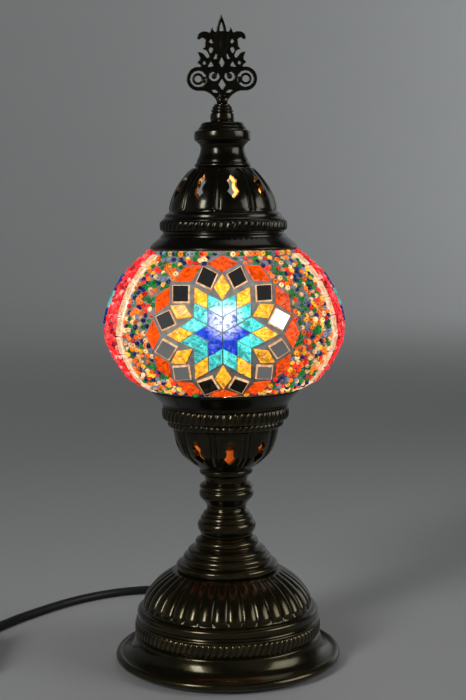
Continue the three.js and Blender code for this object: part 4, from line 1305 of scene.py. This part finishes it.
def add_globe():
    outer, inner = offset_line(2.6), offset_line(4.6)
    lips = [(33, 219), (33, 217)], [(33, 148), (33, 145.9)]
    glass = [tuple(p) for p in outer] + lips[0] + [tuple(p) for p in reversed(inner)] + lips[1]
    new_piece(
        "globe_shell", *lathe(glass, even_azimuths(96)), GLOBE_GLASS, "globe_glass",
        replaces=["globe_glass"],
    )
    rim = [(38.6, 218.9), (38.2, 219.3), (33.3, 219.3), (33.3, 219.05)]
    bed = [*offset_line(1.15), *rim, *reversed(offset_line(2.4)), (38.2, 146.9), (39.9, 146.9)]
    field = new_piece("field_grout", *lathe(bed, even_azimuths(144)), GROUT, "mixed_beads")
    for azimuth in STAR_AZIMUTHS.values():
        ring = [tuple(ray(angle, GROUT_R - 0.5)) for angle in even_azimuths(RING_STEPS)]
        out, right = direction(azimuth, 0), direction(azimuth + 90, 0)
        points = []
        for distance in (20, 80):
            points += [tuple(out * distance + right * u + Vector((0, 0, STAR_Z + v))) for u, v in ring]
        cut_away(field, points, ring_faces(2, RING_STEPS) + end_faces(2, RING_STEPS))
    outlines = star_outlines()
    for side in STAR_AZIMUTHS:
        add_medallion(side, outlines)
    add_strips()
    add_side_tiles()
    add_beads(outlines)


# ---------------------------------------------------------------- bulb
BULB_BASE_Z = 132.9
GLOW_Z = 180.6
GLOW_SIZES = {"bulb_glow_core": 5.2, "bulb_glow_middle": 8.2, "bulb_glow_halo": 13.5}
FILAMENT_POINTS = 700
FILAMENT_TURNS = 100


def threaded(radius, z, azimuth):
    return radius + 0.32 * math.cos(2 * math.pi * z / 3.6 - math.radians(azimuth))


def add_bulb():
    z = BULB_BASE_Z
    glass = [(5.9, z + 17), (5.9, z + 21), (7, z + 24.4)]
    glass += arc(0, BULB_MID_Z, BULB_R, -56, 89.9, 25)
    inner = [(r - 0.6 if r > 0.6 else 0, h - 0.6 * (h > BULB_MID_Z)) for r, h in reversed(glass)]
    new_piece(
        "bulb_envelope", *lathe(glass + inner, even_azimuths(64)), BULB_GLASS, "bulb_glass", body="bulb",
        replaces=["bulb_glass"],
    )
    rows = [(6.55, z + 4 + 0.45 * i) for i in range(31)]
    outline = [
        (0, z + 1.5), (3.4, z + 1.5), (6, z + 3.6), *rows, (6.5, z + 18.6), (6.4, z + 20), (5.8, z + 20),
        (5.8, z + 4.3), (3.2, z + 2.2), (0, z + 2.2),
    ]
    points, faces = lathe(outline, even_azimuths(48))
    shaped = []
    for x, y, h in points:
        radius, azimuth = math.hypot(x, y), math.degrees(math.atan2(x, -y))
        on_thread = radius > 6.5 and z + 3.9 < h < z + 18
        shaped.append(polar(azimuth, threaded(radius, h, azimuth), h) if on_thread else (x, y, h))
    new_piece("bulb_thread", shaped, faces, STEEL, "steel", body="bulb", replaces=["bulb_screw_cap"])
    turned("bulb_stem", [
        (0, z + 8), (3.4, z + 8), (3.2, z + 18), (2.2, z + 26), (1.3, z + 32), (1.1, z + 48),
        (1.7, z + 50.4), (0.9, z + 52), (0, z + 52.2),
    ], STEM_GLASS, "bulb_glass", count=32, body="bulb", replaces=["bulb_mount"])
    wires = []
    leads, props = [(1.2, 24), (3, 34), (9, 52), (9.6, 55)], [(0.8, 50.5), (4.5, 53), (8.6, 54.6)]
    for places, azimuths in ((leads, (90, 270)), (props, (30, 150, 210, 330))):
        for azimuth in azimuths:
            wires.append([polar(azimuth, radius, z + height) for radius, height in places])
    points, faces = [], []
    for wire in wires:
        more, shapes = tube_mesh(catmull_rom(wire, 5), 0.22, 6)
        faces += [tuple(i + len(points) for i in face) for face in shapes]
        points += more
    new_piece("bulb_supports", points, faces, STEEL, "steel", body="bulb")
    coil = []
    for i in range(FILAMENT_POINTS):
        share = i / (FILAMENT_POINTS - 1)
        azimuth, twist = 90 + 300 * share, 2 * math.pi * FILAMENT_TURNS * share
        coil.append(polar(azimuth, 9 + 0.55 * math.cos(twist), z + 54.8 + 0.55 * math.sin(twist)))
    for name, size in GLOW_SIZES.items():
        ball = arc(0, GLOW_Z, size, -90, 90, 16)
        ball[0], ball[-1] = (0, GLOW_Z - size), (0, GLOW_Z + size)
        new_piece(name, *lathe(ball, even_azimuths(32)), BULB_GAS[name], "bulb_glass", body="bulb")
    new_piece("bulb_filament", *tube_mesh(coil, 0.16, 5), GLOWING_WIRE, "steel", body="bulb", crease=180)


# ---------------------------------------------------------------- mains lead
LEAD_ROUTE = [
    (0, 50.3, CORD_EXIT_Z), (0, 60, CORD_EXIT_Z), (0, 76, CORD_EXIT_Z), (0, 84, 16.2), (-2, 93, 13),
    (-7, 102.5, 8.8), (-15, 111.5, 5), (-25, 118.6, 2.9), (-37, 122.6, 2.5), (-51.2, 123.1, 2.5),
    (-65.7, 119.3, 2.5), (-77.9, 113.2, 2.5), (-89.8, 104.6, 2.5), (-100.8, 93.8, 2.5), (-111.6, 80.8, 2.5),
    (-121.9, 67, 2.5), (-131.2, 52, 2.5), (-137.6, 39.6, 3.4), (-141.6, 30, 5.6), (-142.9, 23, 7.2),
    (-143, 18.3, 7.2), (-143, 0, 7.2), (-143, -20, 7.2), (-143, -42.3, 7.2), (-143, -46, 7.2),
    (-143, -56, 4.8),
]
TAIL_ROUTE = [(-209, -56, 7.5), (-209, -46, 7.2), (-209, -36.3, 7)]
COIL_TURNS = [(33, 2.5), (28, 2.5), (23, 2.5), (23, 7.5), (28, 7.5), (28, 12.5), (33, 12.5), (33, 7.5)]
COIL_STEPS = 36  # points on each turn
COIL_SHIFT = 0.14  # share of a turn in which the cord passes to its next place


def coil_route():
    """Seven and a half turns, clockwise from above, each lying beside or on the one before it."""
    route = []
    total = int((len(COIL_TURNS) - 0.5) * COIL_STEPS)
    for i in range(total + 1):
        turn = min(i // COIL_STEPS, len(COIL_TURNS) - 1)
        share = i / COIL_STEPS - turn
        radius, z = COIL_TURNS[turn]
        if turn and share < COIL_SHIFT:
            before = COIL_TURNS[turn - 1]
            passed = smoothstep(share, -COIL_SHIFT, COIL_SHIFT)
            radius, z = (a * (1 - passed) + b * passed for a, b in zip(before, (radius, z)))
        elif turn < len(COIL_TURNS) - 1 and share > 1 - COIL_SHIFT:
            after = COIL_TURNS[turn + 1]
            passed = smoothstep(share, 1 - COIL_SHIFT, 1 + COIL_SHIFT)
            radius, z = (a * (1 - passed) + b * passed for a, b in zip((radius, z), after))
        angle = -2 * math.pi * i / COIL_STEPS
        route.append((COIL_X + radius * math.cos(angle), COIL_Y + radius * math.sin(angle), z))
    return route


def add_cord():
    lead = catmull_rom(LEAD_ROUTE, 5)
    tail = catmull_rom(TAIL_ROUTE, 5)
    route = [*lead, *coil_route(), *tail]
    curve = bpy.data.curves.new("mains_lead", "CURVE")
    curve.dimensions = "3D"
    curve.bevel_depth = CORD_R * MM
    curve.bevel_resolution = 5
    curve.use_fill_caps = True
    spline = curve.splines.new("POLY")
    spline.points.add(len(route) - 1)
    for point, place in zip(spline.points, route):
        point.co = (*(c * MM for c in place), 1)
    cord = bpy.data.objects.new("mains_lead", curve)
    bpy.context.collection.objects.link(cord)
    curve.materials.append(LEAD_SHEATH)
    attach(cord, "lamp_body")
    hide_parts("cord_lead", "cord_link", "cord_coil", "cord_tail")
    return cord


def rounded_box(x, y, z, width, length, height, corner, edge):
    """Points and faces of a box with round upright corners and soft top and bottom edges."""
    arcs, chamfer = 6, edge * 0.3
    points = []
    levels = [
        (0, edge), (chamfer, chamfer), (edge, 0), (height - edge, 0), (height - chamfer, chamfer),
        (height, edge),
    ]
    for level, shrink in levels:
        for quarter, (sx, sy) in enumerate(((1, 1), (-1, 1), (-1, -1), (1, -1))):
            r = max(corner - shrink, 0.2)
            cx, cy = sx * (width / 2 - shrink - r), sy * (length / 2 - shrink - r)
            for i in range(arcs + 1):
                angle = math.pi / 2 * (quarter + i / arcs)
                points.append((x + cx + r * math.cos(angle), y + cy + r * math.sin(angle), z + level))
    count = 4 * (arcs + 1)
    return points, ring_faces(len(levels), count) + end_faces(len(levels), count)


KEY_R = 10.2  # of the rocker's round ends about its axis
KEY_AXIS_Z = 10.8


def add_switch():
    x, y = SWITCH_X, SWITCH_Y
    bottom = new_piece(
        "switch_tray", *rounded_box(x, y, 0, 24, 60, 8.4, 6, 1.2), BLACK_PLASTIC, "black_plastic",
        replaces=["switch_housing_bottom"],
    )
    top = new_piece(
        "switch_lid", *rounded_box(x, y, 8.7, 24, 60, 8.3, 6, 1.6), BLACK_PLASTIC, "black_plastic",
        replaces=["switch_housing_top"],
    )
    cut_away(top, *rounded_box(x, y, 5, 10.9, 19.2, 20, 0.6, 0.3))
    cut_away(top, *rounded_box(x, y, 5, 19.5, 55, 9.5, 4, 0.5))
    rivets = []
    head = filleted([(0, 16.52), (2.1, 16.52), (2.1, 16.9), (0, 16.9)], 0.2)
    for letter, end in (("a", -1), ("b", 1)):
        points, faces = lathe(head, even_azimuths(24))
        points = [(px + x, py + y + end * 22, pz) for px, py, pz in points]
        rivets.append(new_piece(f"switch_rivet_{letter}", points, faces, STEEL, "steel"))
    low_tip, high_tip = (KEY_R * ray(angle, 1) for angle in (147, 47))
    outline = [
        (-10.04, -1.77), (-10.04, 1.77), tuple(low_tip), (-4.3, 4.75), (0, 4.7), (3.6, 5.8), tuple(high_tip),
        (8.6, 5.3), (10.04, 1.77), (10.04, -1.77), (4, -2.4), (-4, -2.4),
    ]
    points = []
    for across, shrink in [(-5, 0.5), (-4.6, 0), (4.6, 0), (5, 0.5)]:
        ring = inset_any(outline, shrink)
        points += [(x - across, y + along, KEY_AXIS_Z + z) for along, z in ring]
    faces = ring_faces(4, len(outline)) + end_faces(4, len(outline))
    rocker = new_piece(
        "switch_key", points, faces, BLACK_PLASTIC, "black_plastic", body="rocker",
        replaces=["switch_rocker"], crease=30,
    )
    return [bottom, top, rocker, *rivets]


def inset_any(outline, distance):
    """An outline of any shape with its corners drawn towards its middle."""
    middle = np.mean(outline, axis=0)
    return [tuple(np.array(p) + (middle - p) / np.linalg.norm(middle - p) * distance) for p in outline]


def add_plug():
    x, y0, z = PLUG_X, -36, 7
    stations = [
        (0, 4.2, 4.2), (1, 4.7, 4.7), (9.5, 5.3, 5), (13, 8.2, 6), (17, 11, 6.6), (22, 12.7, 7),
        (34, 13, 7), (35.4, 12.6, 6.6), (36, 11.8, 5.8),
    ]
    points = []
    around, squareness = 40, 0.55
    for along, half_width, half_height in stations:
        for j in range(around):
            angle = 2 * math.pi * j / around
            c, s = math.cos(angle), math.sin(angle)
            across = half_width * math.copysign(abs(c) ** squareness, c)
            above = half_height * math.copysign(abs(s) ** squareness, s)
            points.append((x + across, y0 + along, z + above))
    faces = ring_faces(len(stations), around) + end_faces(len(stations), around)
    pieces = [new_piece("plug_shell", points, faces, BLACK_PLASTIC, "black_plastic", replaces=["plug_body"])]
    for number, side in ((1, -1), (2, 1)):
        outline = filleted([(0, 0.3), (2, 0.3), (2, 18.3, 0.9), (1.2, 19.3, 0.5), (0, 19.3)], 0.3)
        shape, faces = lathe(outline, even_azimuths(24))
        placed = [(px + x + side * 9, h, z + py) for px, py, h in shape]
        pieces.append(new_piece(
            f"plug_prong_{number}", placed, faces, BRASS, "brass", replaces=[f"plug_pin_{number}"],
        ))
    return pieces


def add_bush():
    outline = [
        (2.85, 41.8), (6.2, 41.8, 0.4), (6.4, 43.2, 0.4), (4.8, 44, 0.3), (4.8, 51, 0.3), (5.9, 51.6, 0.4),
        (5.9, 53.4, 0.4),
    ]
    for ring in range(6):
        y = 54.6 + 3.4 * ring
        radius = 5.1 - 0.28 * ring
        outline += [
            (radius - 0.7, y, 0.2), (radius - 0.7, y + 0.9, 0.2), (radius, y + 1.1, 0.3),
            (radius, y + 3.1, 0.3),
        ]
    outline += [(3.4, 75.4, 0.3), (3.2, 76, 0.2), (2.7, 76)]
    shape, faces = lathe(filleted(outline, 0.3), even_azimuths(40))
    placed = [(px, h, CORD_EXIT_Z + py) for px, py, h in shape]
    return new_piece("strain_relief", placed, faces, BLACK_PLASTIC, "black_plastic", replaces=["cord_bush"])


def add_tie():
    """A black band round the coil's section on its near side."""
    middle_y, middle_z, half_y, half_z, corner = COIL_Y - 28, 7.5, 7.9, 7.4, 3.2
    loop = []
    for quarter, (sy, sz) in enumerate(((1, 1), (-1, 1), (-1, -1), (1, -1))):
        for i in range(7):
            angle = math.pi / 2 * (quarter + i / 6)
            loop.append((sy * (half_y - corner), sz * (half_z - corner), math.cos(angle), math.sin(angle)))
    points = []
    section = [
        (-4.5, -0.25), (-4.2, 0), (4.2, 0), (4.5, -0.25), (4.5, -0.55), (4.2, -0.8), (-4.2, -0.8),
        (-4.5, -0.55),
    ]
    for cy, cz, ny, nz in loop:
        for across, out in section:
            reach = corner + out
            points.append((COIL_X + across, middle_y + cy + ny * reach, middle_z + cz + nz * reach))
    faces = ring_faces(len(loop), len(section), closed=True)
    return new_piece("coil_band", points, faces, BLACK_PLASTIC, "black_plastic", replaces=["cord_tie"])


# ---------------------------------------------------------------- stage
SWEEP_FLAT_R = 2300  # the flat middle of the floor
SWEEP_R = 1500  # of the curve from the floor into the wall


def add_stage():
    """A pale sweep: a round floor that curves up into a low wall all the way round."""
    line = [(r, -0.05) for r in (0, 300, 900, 1600, SWEEP_FLAT_R)]
    line += [
        (SWEEP_FLAT_R + SWEEP_R * math.sin(a), SWEEP_R * (1 - math.cos(a)) - 0.05)
        for a in np.radians(np.linspace(3, 90, 30))
    ]
    line.append((SWEEP_FLAT_R + SWEEP_R, 2600))
    azimuths = even_azimuths(64)
    points = [polar(azimuth, r, z) for r, z in line for azimuth in azimuths]
    mesh = bpy.data.meshes.new("studio_floor")
    mesh.from_pydata((np.array(points) * MM).tolist(), [], ring_faces(len(line), len(azimuths)))
    mesh.materials.append(studio_grey())
    mesh.shade_smooth()
    floor = bpy.data.objects.new("studio_floor", mesh)
    bpy.context.collection.objects.link(floor)


def paint_kept_nodes():
    """New finishes for the CAD parts that show as they are."""
    finishes = {
        STEEL: [
            "base_plate", "base_washer", "base_nut", "threaded_rod", "cap_stud", "cap_nut",
            "cap_spring_strap",
        ],
        # Orange brass with painted warm light for the cup's strap, washer and nut, seen through its windows.
        BRASS_AND_PAINTED_WARM_LIGHT: ["cup_spring_strap", "cup_washer", "cup_nut"],
        BRASS: [
            "terminal_screw_1", "terminal_screw_2", "lampholder_contact", "lampholder_shell",
            "bulb_tip_contact",
        ],
        BLACK_PLASTIC: ["lampholder_cap", "lampholder_body"],
        PORCELAIN: ["lampholder_insert"],
        LEAD_SHEATH: ["cord_inner"],
    }
    for material, names in finishes.items():
        for name in names:
            for slot in NODES[name].material_slots:
                slot.material = material


add_camera()
LEAD_SHEATH = black_plastic("lead_sheath", 0.42)
CORD = add_cord()
BRONZE = bronze()
STEEL = plain_metal("zinc_steel", (0.5, 0.49, 0.47), 0.3)
BRASS_AND_PAINTED_WARM_LIGHT = brass_and_painted_warm_light()
BRASS = plain_metal("brass", (0.72, 0.5, 0.2), 0.25)
BLACK_PLASTIC = black_plastic("black_plastic", 0.3)
PORCELAIN = porcelain()
# The emission of the glass tiles and beads paints the bulb's light coming through them.
ART_GLASS = art_glass("art_glass", 1.7, 0.1, 0.12)
OPAL_GLASS = art_glass("opal_glass", 1.35, 0.0, 0.0)
BEAD_GLASS = bead_glass()
# The cream glass emission paints the bulb's light through the strip tiles and the mirror tiles' edges.
CREAM_GLASS = cream_glass("cream_glass", (0.62, 0.24, 0.08), (1.0, 0.66, 0.36), 0.85)
# A whiter, brighter cream glass for the strip tiles' bevels: a painted highlight.
PAINTED_BEVEL_HIGHLIGHT = cream_glass("painted_bevel_highlight", (0.75, 0.5, 0.3), (1.0, 0.86, 0.68), 0.95)
MIRROR = mirror_glass()
GROUT = grout()
# The globe glass's small glow is painted light from the bulb.
GLOBE_GLASS = clear_glass("globe_glass_clear", 0.15, 0.9)
BULB_GLASS = clear_glass("bulb_glass_clear", 0.5, 0.85)
STEM_GLASS = clear_glass("stem_glass_clear", 1.0, 0.4)
BULB_GAS = {
    "bulb_glow_core": bulb_gas("bright_gas", 1500.0),
    "bulb_glow_middle": bulb_gas("middle_gas", 260.0),
    "bulb_glow_halo": bulb_gas("dim_gas", 35.0),
}
GLOWING_WIRE = glowing_wire()
add_base()
add_cup()
add_cap()
add_finial()
add_globe()
add_bulb()
ON_CORD = [*add_switch(), *add_plug(), add_tie()]
add_bush()
paint_kept_nodes()
add_lights()
add_stage()

bpy.context.view_layer.update()
